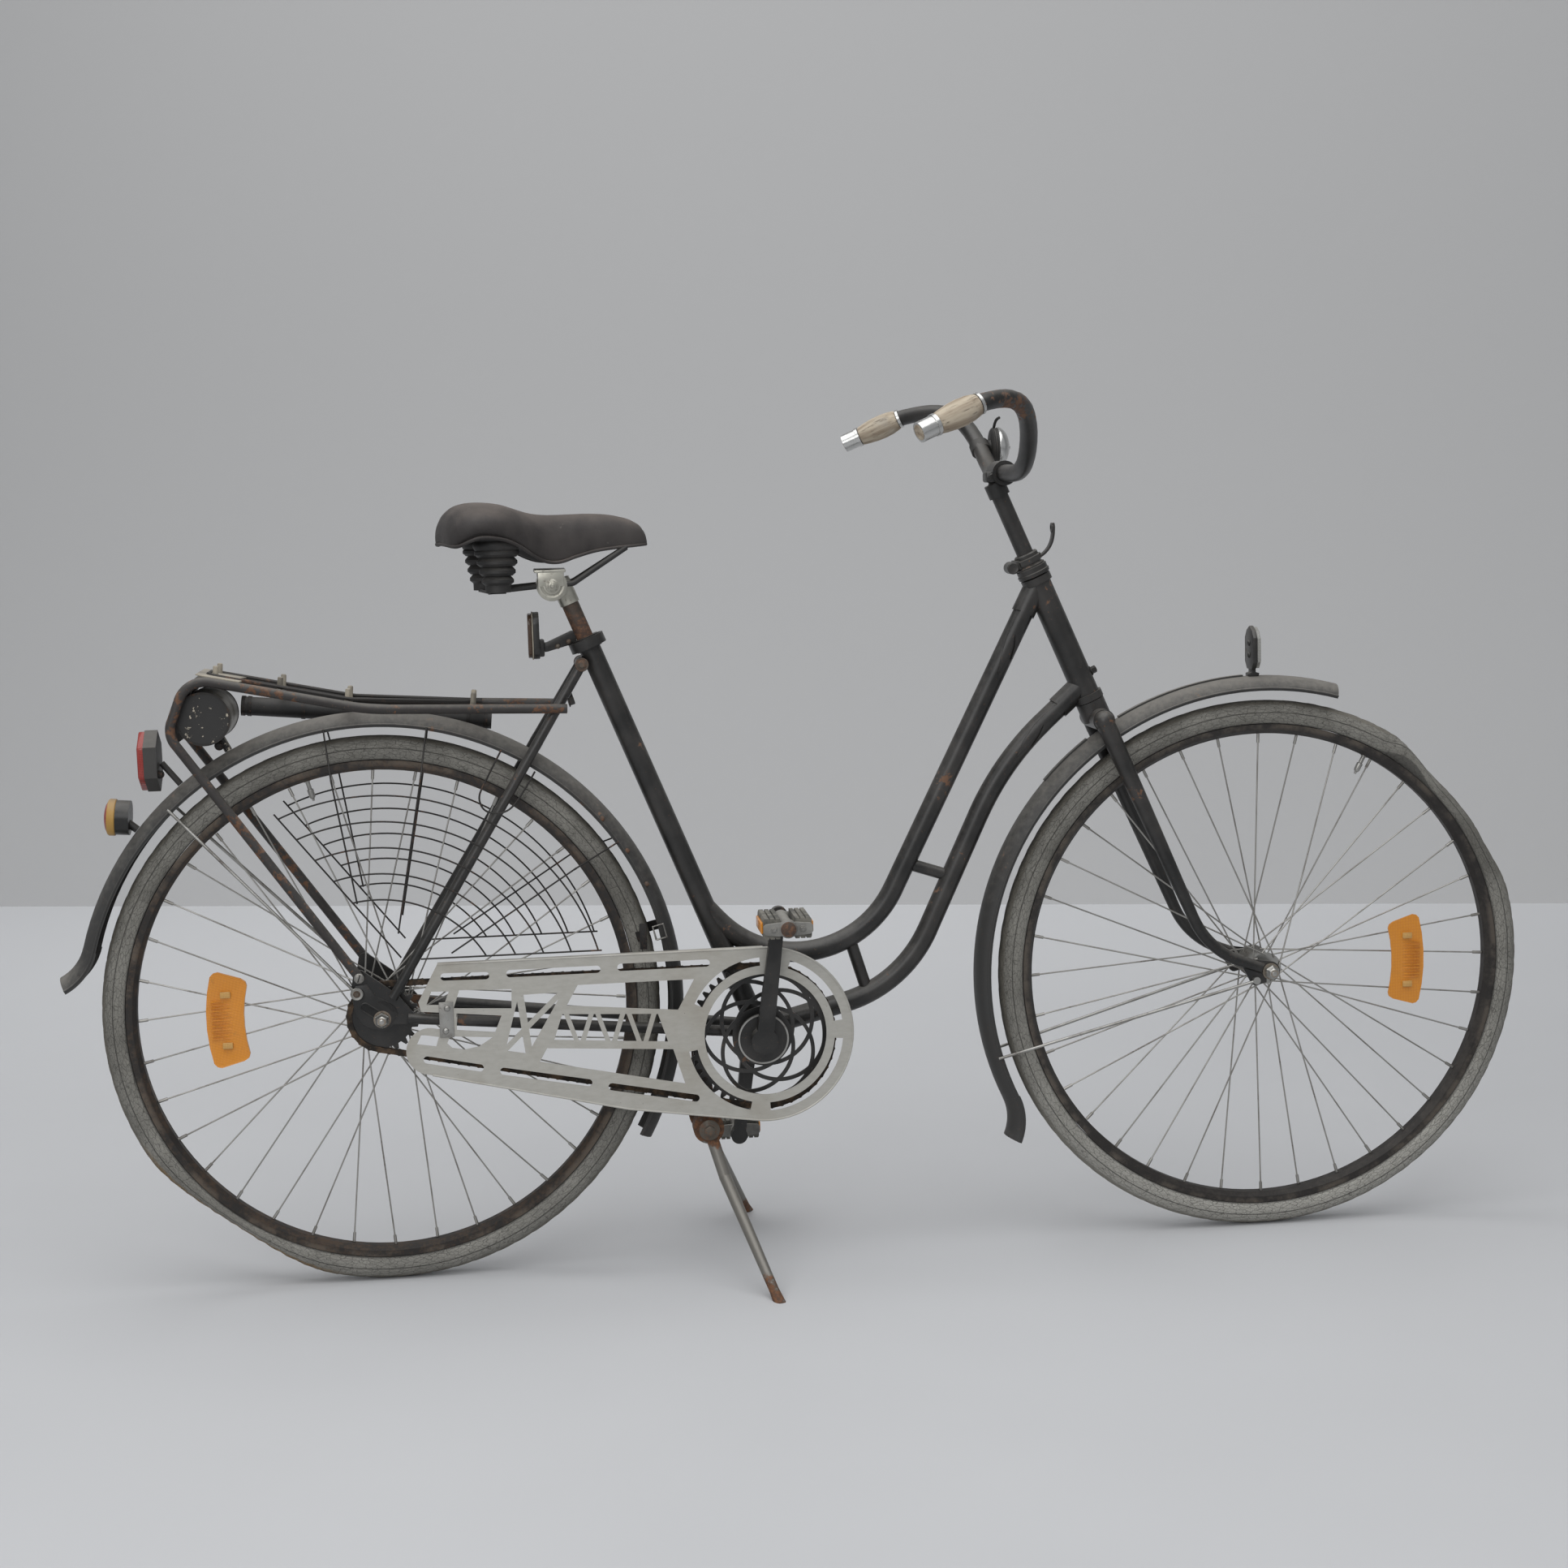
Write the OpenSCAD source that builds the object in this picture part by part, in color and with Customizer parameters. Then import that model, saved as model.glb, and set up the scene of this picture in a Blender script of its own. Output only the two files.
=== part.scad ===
// Step-through bicycle on its two-leg stand.
// +X forward, +Y to the bicycle's left, +Z up, millimetres.
// Origin: middle of the length and width, on the floor.

/* [Wheels] */
// Outer radius of both tyres
wheel_r = 356; // [340:1:370]
// Distance between the two wheel axles
wheelbase = 1162; // [1120:1:1200]
// Radius of the tyre's round section
tyre_r = 18.5; // [16:0.5:22]
// Half width of the rim
rim_half_w = 14; // [11:0.5:16]
// Radial depth of the rim
rim_depth = 13; // [10:0.5:18]
// Radius of a spoke
spoke_r = 1; // [0.8:0.1:1.4]
// Spokes in each wheel
spoke_count = 36; // [28:4:40]
// Radius of the front hub's spoke flange
front_flange_r = 21; // [18:1:26]
// Radius of the rear hub's spoke flange
rear_flange_r = 31; // [27:1:36]
// Half distance between the spoke flanges
flange_half = 29; // [24:1:32]
// Radius of both wheel axles
axle_r = 5; // [4:0.5:6]

/* [Frame] */
// Rear axle to crank axle, along the floor
bb_run = 484; // [470:1:500]
// Crank axle below the wheel axles
bb_drop = 51; // [40:1:65]
// Angle of the seat tube to the floor
seat_angle = 68.3; // [66:0.1:71]
// Length of the seat tube from the crank axle
seat_tube_len = 562; // [520:1:600]
// Outer radius of the seat tube
seat_tube_r = 14; // [13:0.25:16]
// Outer radius of the two main tubes
main_tube_r = 13.5; // [12.5:0.25:15]
// Angle of the head tube to the floor
head_angle = 67; // [65:0.1:70]
// Front axle ahead of the steering axis
rake = 66.8; // [55:0.2:80]
// Length of the head tube
head_len = 178; // [160:1:200]
// Outer radius of the head tube
head_r = 17; // [16:0.25:19]
// Bend radius of the upper tube's loop
loop_r = 142; // [120:1:160]
// Where the loop runs into the seat tube, from the crank axle
loop_up = 203; // [180:1:230]
// Radius of the bottom bracket shell
shell_r = 20; // [19:0.5:23]
// Half length of the bottom bracket shell
shell_half = 34; // [32:0.5:38]
// Radius of the chain stays
chain_stay_r = 7; // [6:0.25:8]
// Radius of the seat stays
seat_stay_r = 6.5; // [5.5:0.25:8]
// Half distance between the rear fork ends
rear_half = 58.5; // [57.5:0.5:60]
// Thickness of the fork ends
fork_end_t = 4; // [3:0.5:6]

/* [Steering] */
// Radius of the fork's steerer
steerer_r = 12.5; // [11:0.25:13]
// Radius of a fork blade at the crown
blade_r = 12.5; // [11:0.25:14]
// Radius of a fork blade at the axle
blade_tip_r = 7.5; // [6:0.25:9]
// Half distance between the fork blades at the crown
crown_half = 39; // [38:0.5:44]
// Half distance between the front fork ends
front_half = 47; // [45:0.5:52]
// Radius of the stem's quill
quill_r = 11; // [10:0.25:12]
// Length of the bare quill above the collar
quill_len = 92; // [70:1:120]
// Radius of the handlebar
bar_r = 11; // [10:0.25:12]
// Half width of the handlebar at the grip ends
bar_half = 315; // [290:1:340]
// Radius of the grips at their middle
grip_r = 15; // [13:0.5:18]

/* [Mudguards] */
// Tyre to the rear mudguard's crown
rear_guard_gap = 31; // [26:0.5:36]
// Tyre to the front mudguard's crown
front_guard_gap = 33; // [28:0.5:38]
// Half width of the mudguards
guard_half_w = 24.5; // [22:0.25:25]
// Radius of the mudguards' crown
guard_crown_r = 27; // [26:0.5:32]
// Sheet thickness of the mudguards
guard_t = 1.2; // [1:0.1:2]
// Bend radius of the flared tails
flare_r = 60; // [45:1:80]
// Bend of the flared tails
flare_turn = 48; // [35:1:60]

/* [Drive] */
// Crank length
crank_len = 165; // [155:1:170]
// Crank's lean forward of upright
crank_lean = 8; // [0:1:20]
// Radius of the crank axle
spindle_r = 8; // [7:0.25:9]
// Chain line, from the middle of the bicycle
chain_line = 47; // [46:0.5:49]
// Chain pitch
pitch = 12.7; // [12.7]
// Teeth on the chainring
ring_teeth = 46; // [44:1:47]
// Teeth on the sprocket
sprocket_teeth = 21; // [18:1:22]
// Middle plane of the chain guard's sheet
guard_plane = 66; // [65.5:0.25:66.5]
// Outer radius of the chain guard's disc
guard_disc_r = 114; // [111:1:118]
// Radius of the chain guard's window
guard_window_r = 79; // [74:1:82]
// Inner face of the cranks, from the middle of the bicycle
crank_in = 72; // [71.5:0.5:75]
// Thickness of the cranks
crank_t = 11; // [9:0.5:13]
// Width of a pedal across the bicycle
pedal_w = 90; // [80:1:100]
// Length of a pedal
pedal_len = 64; // [56:1:70]
// Thickness of a pedal
pedal_t = 26; // [22:1:30]
// Radius of the pedal axles
pedal_axle_r = 6; // [5:0.25:7]

/* [Stand] */
// Stand pivot ahead of the rear axle
stand_x = 411; // [400:1:425]
// Stand's pivot below the crank axle
stand_drop = 119; // [105:1:130]
// Foot ahead of the pivot
foot_ahead = 69; // [55:1:85]
// Half distance between the feet
foot_half = 198; // [170:1:215]
// Radius of the legs
leg_r = 8; // [6.5:0.5:9]

/* [Saddle] */
// Length of the saddle
saddle_len = 264; // [240:1:290]
// Half width of the saddle at the back
saddle_half_w = 100; // [85:1:115]
// Saddle's top at the back, above the post's clamp
saddle_rise = 104.8; // [90:0.2:120]
// Turn of the saddle on its post
saddle_turn = 9; // [-15:1:15]
// Radius of the seat post
post_r = 11; // [10.5:0.25:12]

/* [Carrier] */
// Half distance between the carrier's rails
rail_half = 62; // [50:1:70]
// Radius of the carrier's rails
rail_r = 6; // [5:0.25:7]

/* [Fits] */
// Running clearance of bearings
run_gap = 0.05; // [0.02:0.01:0.1]
// Brazing gap between the frame's pieces
braze = 0.1; // [0.05:0.05:0.2]
// Gap between loosely seated pieces
seat_gap = 0.3; // [0.2:0.05:0.5]
// How far joined runs of one piece lap into each other
lap = 1.5; // [1:0.1:2]
// How much fuller a bend is than its straight runs
swell = 0.15; // [0.1:0.05:0.3]

/* [Hidden] */
$fn = 48;

// Small vector helpers in the side plane, x forward and z up
function unit(v) = v / norm(v);
function ray(a) = [cos(a), 0, sin(a)];
function lift(p, y) = [p[0], y, p[2]];
function mid(a, b, t) = a + (b - a) * t;

// Main points of the bicycle, from the floor under the rear axle
rear_hub = [0, 0, wheel_r];
front_hub = [wheelbase, 0, wheel_r];
bb = [bb_run, 0, wheel_r - bb_drop];
seat_dir = [-cos(seat_angle), 0, sin(seat_angle)];
seat_side = [sin(seat_angle), 0, cos(seat_angle)];
seat_top = bb + seat_tube_len * seat_dir;
head_dir = [-cos(head_angle), 0, sin(head_angle)];
head_front = [sin(head_angle), 0, cos(head_angle)];
rear_guard_r = wheel_r + rear_guard_gap;
front_guard_r = wheel_r + front_guard_gap;
crown_r = blade_r + 2;
crown_h = 26.7;
crown_reach = front_guard_r + crown_r + seat_gap;
crown = front_hub - rake * head_front + sqrt(crown_reach * crown_reach - rake * rake) * head_dir;
head_low = crown + crown_h * head_dir;
rear_tail_at = 165;
rear_end_at = -29;
front_tip_at = 74;
front_tail_at = 205;
tail_centre = rear_hub + (rear_guard_r + flare_r) * ray(rear_tail_at);
tail_tip = tail_centre + flare_r * ray(rear_tail_at + 180 - flare_turn);
x_middle = (wheelbase + wheel_r + tail_tip[0]) / 2;
ring_r = pitch / 2 / sin(180 / ring_teeth);
sprocket_r = pitch / 2 / sin(180 / sprocket_teeth);

module from_axle() {
  translate([-x_middle, 0, 0]) children();
}

// A rod between two points, tapered where the second radius differs
module rod(a, b, r, r_end = -1) {
  d = b - a;
  translate(a)
    rotate([0, acos(d[2] / norm(d)), atan2(d[1], d[0])])
      cylinder(h = norm(d), r1 = r, r2 = r_end < 0 ? r : r_end);
}

// The length that a bend takes from both straight runs at a corner
function set_off(a, b, c, bend) = bend * tan(acos(unit(b - a) * unit(c - b)) / 2);

module elbow(a, b, c, bend, r) {
  d1 = unit(b - a);
  d2 = unit(c - b);
  turn = acos(d1 * d2);
  m = unit(d2 - (d1 * d2) * d1);
  n = cross(d1, m);
  p = b - set_off(a, b, c, bend) * d1 + bend * m;
  multmatrix([[-m[0], d1[0], n[0], p[0]], [-m[1], d1[1], n[1], p[1]],
      [-m[2], d1[2], n[2], p[2]], [0, 0, 0, 1]])
    rotate_extrude(angle = turn) translate([bend, 0]) circle(r = r + swell);
}

// A round bar through a list of points, with a bend radius at each inner point
module bent_bar(points, bends, r) {
  last = len(points) - 1;
  offs = [for (i = [0:last]) i == 0 || i == last ? 0
    : set_off(points[i - 1], points[i], points[i + 1], bends[i - 1])];
  for (i = [0:last - 1]) {
    d = unit(points[i + 1] - points[i]);
    from = max(0, offs[i] - lap);
    to = max(0, offs[i + 1] - lap);
    rod(points[i] + from * d, points[i + 1] - to * d, r);
  }
  for (i = [1:last - 1])
    elbow(points[i - 1], points[i], points[i + 1], bends[i - 1], r);
}

// A cylinder across the bicycle from one y to another
module across(p, y0, y1, r) {
  translate([p[0], max(y0, y1), p[2]]) rotate([90, 0, 0]) cylinder(h = abs(y1 - y0), r = r);
}

// A flat shape drawn in the side plane, between two y values
module side_plate(y0, y1) {
  translate([0, max(y0, y1), 0]) rotate([90, 0, 0]) linear_extrude(abs(y1 - y0)) children();
}

// A shape turned about an axle, drawn with x outwards and y along the axle
module about_axle(p) {
  translate(p) rotate([90, 0, 0]) children();
}

module both_sides() {
  children();
  mirror([0, 1, 0]) children();
}

// Frame tubes

module seat_tube_bar(extra = 0) {
  rod(bb, seat_top, seat_tube_r + extra);
}

post_depth = 60;
collar_len = 16;
collar_wall = 3;

module seat_tube() {
  color("dimgray") from_axle() difference() {
    union() {
      seat_tube_bar();
      rod(seat_top - collar_len * seat_dir, seat_top, seat_tube_r + collar_wall);
    }
    across(bb, -shell_half, shell_half, shell_r + braze);
    rod(seat_top - post_depth * seat_dir, seat_top + seat_dir, post_r + seat_gap);
  }
}

head_top = head_low + head_len * head_dir;
steer_bore_r = steerer_r + 1;
cup_len = 9;
cup_wall = 3;

module head_bar(extra = 0) {
  rod(head_low, head_top, head_r + extra);
}

module head_tube() {
  color("dimgray") from_axle() difference() {
    union() {
      head_bar();
      rod(head_low, head_low + cup_len * head_dir, head_r + cup_wall);
      rod(head_top - cup_len * head_dir, head_top, head_r + cup_wall);
    }
    rod(head_low - head_dir, head_top + head_dir, steer_bore_r);
  }
}

// The upper tube runs straight from the head, round the loop and into the seat tube
upper_at_head = head_low + (head_len - 8) * head_dir;
loop_end_turn = 20;
loop_centre = bb + loop_up * seat_dir + loop_r * seat_side;
loop_reach = norm(upper_at_head - loop_centre);
loop_start = atan2(upper_at_head[2] - loop_centre[2], upper_at_head[0] - loop_centre[0])
  - acos(loop_r / loop_reach);
loop_end = -180 + (90 - seat_angle) + loop_end_turn;
loop_in = loop_centre + loop_r * ray(loop_start);
loop_out = loop_centre + loop_r * ray(loop_end);
loop_out_dir = [sin(loop_end), 0, -cos(loop_end)];
loop_run = loop_r * (1 - cos(loop_end_turn)) / sin(loop_end_turn);

module upper_tube_bar(extra = 0) {
  rod(upper_at_head, loop_in + lap * unit(loop_in - upper_at_head), main_tube_r + extra);
  about_axle(loop_centre) rotate([0, 0, loop_end])
    rotate_extrude(angle = loop_start - loop_end)
      translate([loop_r, 0]) circle(r = main_tube_r + extra + swell);
  rod(loop_out - lap * loop_out_dir, loop_out + loop_run * loop_out_dir, main_tube_r + extra);
}

module upper_tube() {
  color("dimgray") from_axle() difference() {
    upper_tube_bar();
    seat_tube_bar(braze);
    head_bar(braze);
    rod(head_top - cup_len * head_dir, head_top + 2 * cup_len * head_dir,
      head_r + cup_wall + braze);
  }
}

// The lower tube leaves the head, bends down beside the upper tube and sweeps to the crank axle
lower_at_head = head_low + 23 * head_dir;
head_run = head_low[0] - bb[0];
high_share = 0.2642;
low_share = 0.4307;
lower_bend_high = head_low + [-high_share * head_run, 0, -78];
lower_bend_low = bb + [low_share * head_run, 0, 48];
lower_high_r = 0.8436 * head_run;
lower_low_r = 0.3774 * head_run;

module lower_tube() {
  color("dimgray") from_axle() difference() {
    lower_tube_bar();
    head_bar(braze);
    rod(head_low - cup_len * head_dir, head_low + cup_len * head_dir, head_r + cup_wall + braze);
    across(bb, -2 * shell_half, 2 * shell_half, shell_r + braze);
  }
}

brace_r = 8;
brace_upper = mid(loop_in, upper_at_head, 0.085);
brace_lower = mid(lower_bend_low, lower_bend_high, 0.49);
brace_two_upper = loop_centre + loop_r * ray(-62);
brace_two_lower = mid(bb, lower_bend_low, 0.76);

module tube_braces() {
  color("dimgray") from_axle() difference() {
    union() {
      rod(brace_upper, brace_lower, brace_r);
      rod(brace_two_upper, brace_two_lower, brace_r);
    }
    upper_tube_bar(braze);
    lower_tube_bar(braze);
  }
}

// Lugs: a sleeve round each main tube at the head, ending in a leaf along the tube
lug_t = 2;
leaf = [[0, -17], [46, -17], [43, -7], [56, -9], [82, -8.5], [108, -5], [130, 1], [110, 3.5],
  [90, 2.5], [74, -0.5], [88, 6], [106, 9.5], [84, 10.5], [60, 8.5], [43, 7], [46, 17], [0, 17]];
upper_along = unit(loop_in - upper_at_head);
upper_aside = [-upper_along[2], 0, upper_along[0]];
lower_along = unit(lower_bend_high - lower_at_head);
lower_next = unit(lower_bend_low - lower_bend_high);
lower_aside = unit(lower_next - (lower_along * lower_next) * lower_along);
lower_bend_from = norm(lower_bend_high - lower_at_head)
  - set_off(lower_at_head, lower_bend_high, lower_bend_low, lower_high_r);
lower_mid = lower_at_head + lower_bend_from * lower_along + lower_high_r * lower_aside;

function on_upper(p) = upper_at_head + p[0] * upper_along + p[1] * upper_aside;
function on_lower(p) = let (a = (p[0] - lower_bend_from) / lower_high_r * 180 / PI)
  p[0] < lower_bend_from ? lower_at_head + p[0] * lower_along + p[1] * lower_aside
  : lower_mid + (lower_high_r - p[1]) * (sin(a) * lower_along - cos(a) * lower_aside);
function flat(p) = [p[0], p[2]];

module lower_tube_bar(extra = 0) {
  bent_bar([lower_at_head, lower_bend_high, lower_bend_low, bb], [lower_high_r, lower_low_r],
    main_tube_r + extra);
}

module head_lugs() {
  far = 2 * main_tube_r;
  color("dimgray") from_axle() difference() {
    union() {
      intersection() {
        rod(upper_at_head, loop_in, main_tube_r + lug_t);
        side_plate(-far, far) polygon([for (p = leaf) flat(on_upper(p))]);
      }
      intersection() {
        lower_tube_bar(lug_t);
        side_plate(-far, far) polygon([for (p = leaf) flat(on_lower(p))]);
      }
    }
    rod(upper_at_head, loop_in, main_tube_r + braze);
    lower_tube_bar(braze);
    head_bar(braze);
    rod(head_top - cup_len * head_dir, head_top + 2 * cup_len * head_dir,
      head_r + cup_wall + braze);
    rod(head_low - cup_len * head_dir, head_low + cup_len * head_dir, head_r + cup_wall + braze);
  }
}

module bottom_bracket() {
  color("dimgray") from_axle() difference() {
    across(bb, -shell_half, shell_half, shell_r);
    across(bb, -shell_half - 1, shell_half + 1, spindle_r + run_gap);
  }
}

// Fork ends: a plate with the axle slot, an eye for the stays and lugs for the tubes
eye = [-30, 0, 35];
carrier_eye = [-26, 0, 56];
fork_end_r = 15;
slot_half = axle_r + seat_gap;
slot_len = 13;

module rear_fork_end() {
  difference() {
    union() {
      translate([rear_hub[0], rear_hub[2]]) circle(r = fork_end_r);
      hull() {
        translate([rear_hub[0] + 6, rear_hub[2] + 4]) circle(r = 11);
        translate([rear_hub[0] + eye[0], rear_hub[2] + eye[2]]) circle(r = 8);
        translate([rear_hub[0] + carrier_eye[0], rear_hub[2] + carrier_eye[2]]) circle(r = 8);
        translate([rear_hub[0] + 14, rear_hub[2] + 24]) circle(r = 9);
        translate([rear_hub[0] + 34, rear_hub[2]]) circle(r = 8);
      }
    }
    translate([rear_hub[0], rear_hub[2]]) circle(r = slot_half);
    translate([rear_hub[0] - slot_len, rear_hub[2]]) circle(r = slot_half);
    translate([rear_hub[0] - slot_len, rear_hub[2] - slot_half])
      square([slot_len, 2 * slot_half]);
  }
}

chain_stay_in = 26;
stay_end_y = rear_half + fork_end_t / 2;
stay_end = [32, 0, -1];
bridge_r = 6;
bridge = bb + [-80, 0, 9];

module chain_stay(extra = 0) {
  rod(lift(bb, chain_stay_in), lift(rear_hub + stay_end, stay_end_y), chain_stay_r + extra);
}

module chain_stays() {
  color("dimgray") from_axle() difference() {
    union() {
      both_sides() {
        chain_stay();
        side_plate(rear_half, rear_half + fork_end_t) rear_fork_end();
      }
      across(bridge, -chain_stay_in - bridge_r, chain_stay_in + bridge_r, bridge_r);
    }
    across(bb, -shell_half, shell_half, shell_r + braze);
  }
}

stay_bolt = seat_top - 29 * seat_dir - 18 * seat_side;
stay_foot = rear_hub + [14, 0, 26];
knee_share = 0.76;
stay_knee = mid(stay_foot, stay_bolt, knee_share);
stay_top_y = 21;
stay_knee_y = 37;

module seat_stays() {
  color("dimgray") from_axle() difference() {
    union() {
      both_sides() {
        bent_bar([lift(stay_foot, stay_end_y), lift(stay_knee, stay_knee_y),
            lift(stay_bolt, stay_top_y)], [120], seat_stay_r);
      }
      across(stay_bolt, -stay_top_y - seat_stay_r, stay_top_y + seat_stay_r, 8);
    }
    seat_tube_bar(braze);
    rod(seat_top - collar_len * seat_dir, seat_top, seat_tube_r + collar_wall + braze);
    both_sides() side_plate(rear_half - braze, rear_half + fork_end_t + braze)
      offset_free_end();
    both_sides() chain_stay(braze);
  }
}

module offset_free_end() {
  hull() {
    translate([rear_hub[0], rear_hub[2]]) circle(r = fork_end_r + 12);
    translate([rear_hub[0] + 20, rear_hub[2] + 34]) circle(r = 14);
  }
}

// Axles with washers and nuts outside the fork ends
nut_r = 9;
nut_t = 8;
washer_t = 2;
axle_free = 8;

module axle_with_nuts(p, half) {
  out = half + fork_end_t + seat_gap;
  across(p, -(out + washer_t + nut_t + axle_free), out + washer_t + nut_t + axle_free, axle_r);
  both_sides() {
    across(p, out, out + washer_t, nut_r + 2);
    translate([p[0], out + washer_t + nut_t, p[2]]) rotate([90, 0, 0])
      cylinder(h = nut_t, r = nut_r, $fn = 6);
  }
}

module rear_axle() {
  color("gray") from_axle() axle_with_nuts(rear_hub, rear_half);
}

// Reaction arm of the hub brake, clipped to the left chain stay
arm_run = 150;

module brake_arm() {
  y_in = rear_half - 4;
  color("dimgray") from_axle() difference() {
    side_plate(y_in - 3, y_in) hull() {
      translate([rear_hub[0], rear_hub[2]]) circle(r = 14);
      translate([arm_run, rear_hub[2] - 24]) circle(r = 7);
    }
    across(rear_hub, 0, rear_half, axle_r + seat_gap);
    chain_stay(seat_gap);
  }
}

// Mudguards: a thin arched section swept about the axle, with a flared tail
module guard_section(extra = 0) {
  intersection() {
    difference() {
      translate([-guard_crown_r, 0]) circle(r = guard_crown_r + extra);
      translate([-guard_crown_r, 0]) circle(r = guard_crown_r - guard_t - extra);
    }
    translate([-guard_crown_r, -guard_half_w - extra])
      square([guard_crown_r + 1, 2 * (guard_half_w + extra)]);
  }
}

module mudguard(hub, r, from, to, tail_at, tail_turn) {
  lap_turn = lap / r * 180 / PI;
  about_axle(hub) rotate([0, 0, from])
    rotate_extrude(angle = to - from + lap_turn) translate([r, 0]) guard_section();
  about_axle(hub + (r + flare_r) * ray(tail_at)) rotate([0, 0, tail_at + 180])
    mirror([0, tail_turn < 0 ? 1 : 0, 0])
      rotate_extrude(angle = abs(tail_turn))
        translate([flare_r, 0]) mirror([1, 0]) guard_section(swell);
}

module rear_mudguard() {
  color("dimgray") from_axle()
    mudguard(rear_hub, rear_guard_r, rear_end_at, rear_tail_at, rear_tail_at, -flare_turn);
}

guard_stay_r = 2;
guard_stay_at = 133;
stay_off = 1.6;
stay_bolt_r = 5;

module rear_guard_stays() {
  lip_r = rear_guard_r - 12;
  lip = rear_hub + lip_r * ray(guard_stay_at);
  out_y = rear_half + fork_end_t + guard_stay_r + stay_off;
  color("silver") from_axle() both_sides() {
    rod(lift(lip, guard_half_w + guard_stay_r + seat_gap), lift(rear_hub + eye, out_y),
      guard_stay_r);
    across(rear_hub + eye, rear_half + fork_end_t + braze, out_y + guard_stay_r, stay_bolt_r);
  }
}

// Carrier: two bent rails with cross bars, a curved apron at the back and two legs
rail_share = 0.87;
rail_front = mid(stay_foot, stay_bolt, rail_share);
stay_y_there = mid(stay_knee_y, stay_top_y, (rail_share - knee_share) / (1 - knee_share));
rail_front_y = stay_y_there + seat_stay_r + rail_r + seat_gap;
dip_above = 7;
back_above = 54;
low_above = -15;
rail_dip = rear_hub + [0, 0, rear_guard_r + dip_above];
rail_back = rear_hub + [-219, 0, rear_guard_r + back_above];
rail_low = rear_hub + [-246, 0, rear_guard_r + low_above];
rail_foot = rear_hub + carrier_eye;
rail_foot_y = rear_half + fork_end_t + rail_r + seat_gap;
rail_lead = 12;
dip_bend = 260;
back_bend = 34;
low_bend = 30;
leg_start = lift(mid(rail_low, rail_foot, 0.09), mid(rail_half, rail_foot_y, 0.09));
bar_shares = [0.12, 0.5, 0.86];
cross_r = 4;
apron_t = 1.6;

// A sheet bent across the bicycle, in the corner of a bar's path
module bent_sheet(a, b, c, bend, half, t) {
  d1 = unit(b - a);
  d2 = unit(c - b);
  turn = acos(d1 * d2);
  m = unit(d2 - (d1 * d2) * d1);
  n = cross(d1, m);
  p = b - set_off(a, b, c, bend) * d1 + bend * m;
  multmatrix([[-m[0], d1[0], n[0], p[0]], [-m[1], d1[1], n[1], p[1]],
      [-m[2], d1[2], n[2], p[2]], [0, 0, 0, 1]])
    rotate_extrude(angle = turn) translate([bend, 0]) square([t + swell, 2 * half], center = true);
}

module rail() {
  lead = rail_lead * unit(rail_front - rail_dip);
  bent_bar([lift(rail_front + lead, rail_front_y), lift(rail_dip, rail_half),
      lift(rail_back, rail_half), lift(rail_low, rail_half), leg_start],
    [dip_bend, back_bend, low_bend], rail_r);
}

module apron() {
  d = unit(rail_low - rail_back);
  n = [d[2], 0, -d[0]] * apron_t / 2;
  from = rail_back + (set_off(rail_dip, rail_back, rail_low, back_bend) - lap) * d;
  to = rail_low - (set_off(rail_back, rail_low, rail_foot, low_bend) - lap) * d;
  bent_sheet(rail_dip, rail_back, rail_low, back_bend, rail_half, apron_t);
  bent_sheet(rail_back, rail_low, rail_foot, low_bend, rail_half, apron_t);
  side_plate(-rail_half, rail_half)
    polygon([for (p = [from + n, to + n, to - n, from - n]) [p[0], p[2]]]);
}

module carrier_deck() {
  color("dimgray") from_axle() {
    both_sides() rail();
    apron();
    for (t = bar_shares)
      across(mid(rail_dip, rail_back, t), -rail_half, rail_half, cross_r);
    across(mid(rail_front, rail_dip, 0.45), -rail_half + 8, rail_half - 8, cross_r);
  }
}

module carrier_legs() {
  foot = lift(rail_foot, rail_foot_y);
  color("dimgray") from_axle() both_sides()
    rod(leg_start + braze * unit(foot - leg_start), foot, rail_r);
}

spring_wire_r = 2.2;

module carrier_spring() {
  y = 30;
  rise = [0, 0, cross_r + spring_wire_r + seat_gap];
  a = mid(rail_dip, rail_back, 0.9) + rise;
  b = mid(rail_dip, rail_back, 0.1) + rise;
  c = mid(rail_front, rail_dip, 0.4) + rise;
  color("gray") from_axle()
    bent_bar([lift(c, -12), lift(b, -y), lift(a, -y), lift(a, y), lift(b, y), lift(c, 12)],
      [30, 12, 12, 30], spring_wire_r);
}

can_r = 33;
can_half = 50;
can_foot_r = 5;
back_dir = unit(rail_low - rail_back);
can_at = mid(rail_back, rail_low, 0.58)
  + (can_r + apron_t / 2 + seat_gap) * [-back_dir[2], 0, back_dir[0]];

module tool_can() {
  out = unit(can_at - rear_hub);
  color("gray") from_axle() {
    across(can_at, -can_half, can_half, can_r);
    rod(rear_hub + (rear_guard_r + seat_gap) * out, can_at, can_foot_r);
  }
}

pump_r = 12;
pump_y = 40;
pump_bar = mid(rail_dip, rail_back, bar_shares[0]) - [0, 0, cross_r + pump_r + seat_gap];
pump_dir = unit([332, 0, -32]);

module pump() {
  color("black") from_axle()
    rod(lift(pump_bar - 138 * pump_dir, pump_y), lift(pump_bar + 180 * pump_dir, pump_y), pump_r);
}

// Skirt nets: concentric wires about the rear axle, carried by spreaders from the mudguard's lips
net_wire_r = 1.1;
net_pitch = 33;
net_gap = 101;
net_rows = 5;
net_lean = 38.2;
net_off = 70.7;
net_base = 76;
net_y = rear_half + fork_end_t + 4.5;
spread_y = net_y + 2 * net_wire_r + braze;
net_last_r = rear_guard_r - net_gap;
net_inner_r = net_last_r - (net_rows - 1) * net_pitch;

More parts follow.
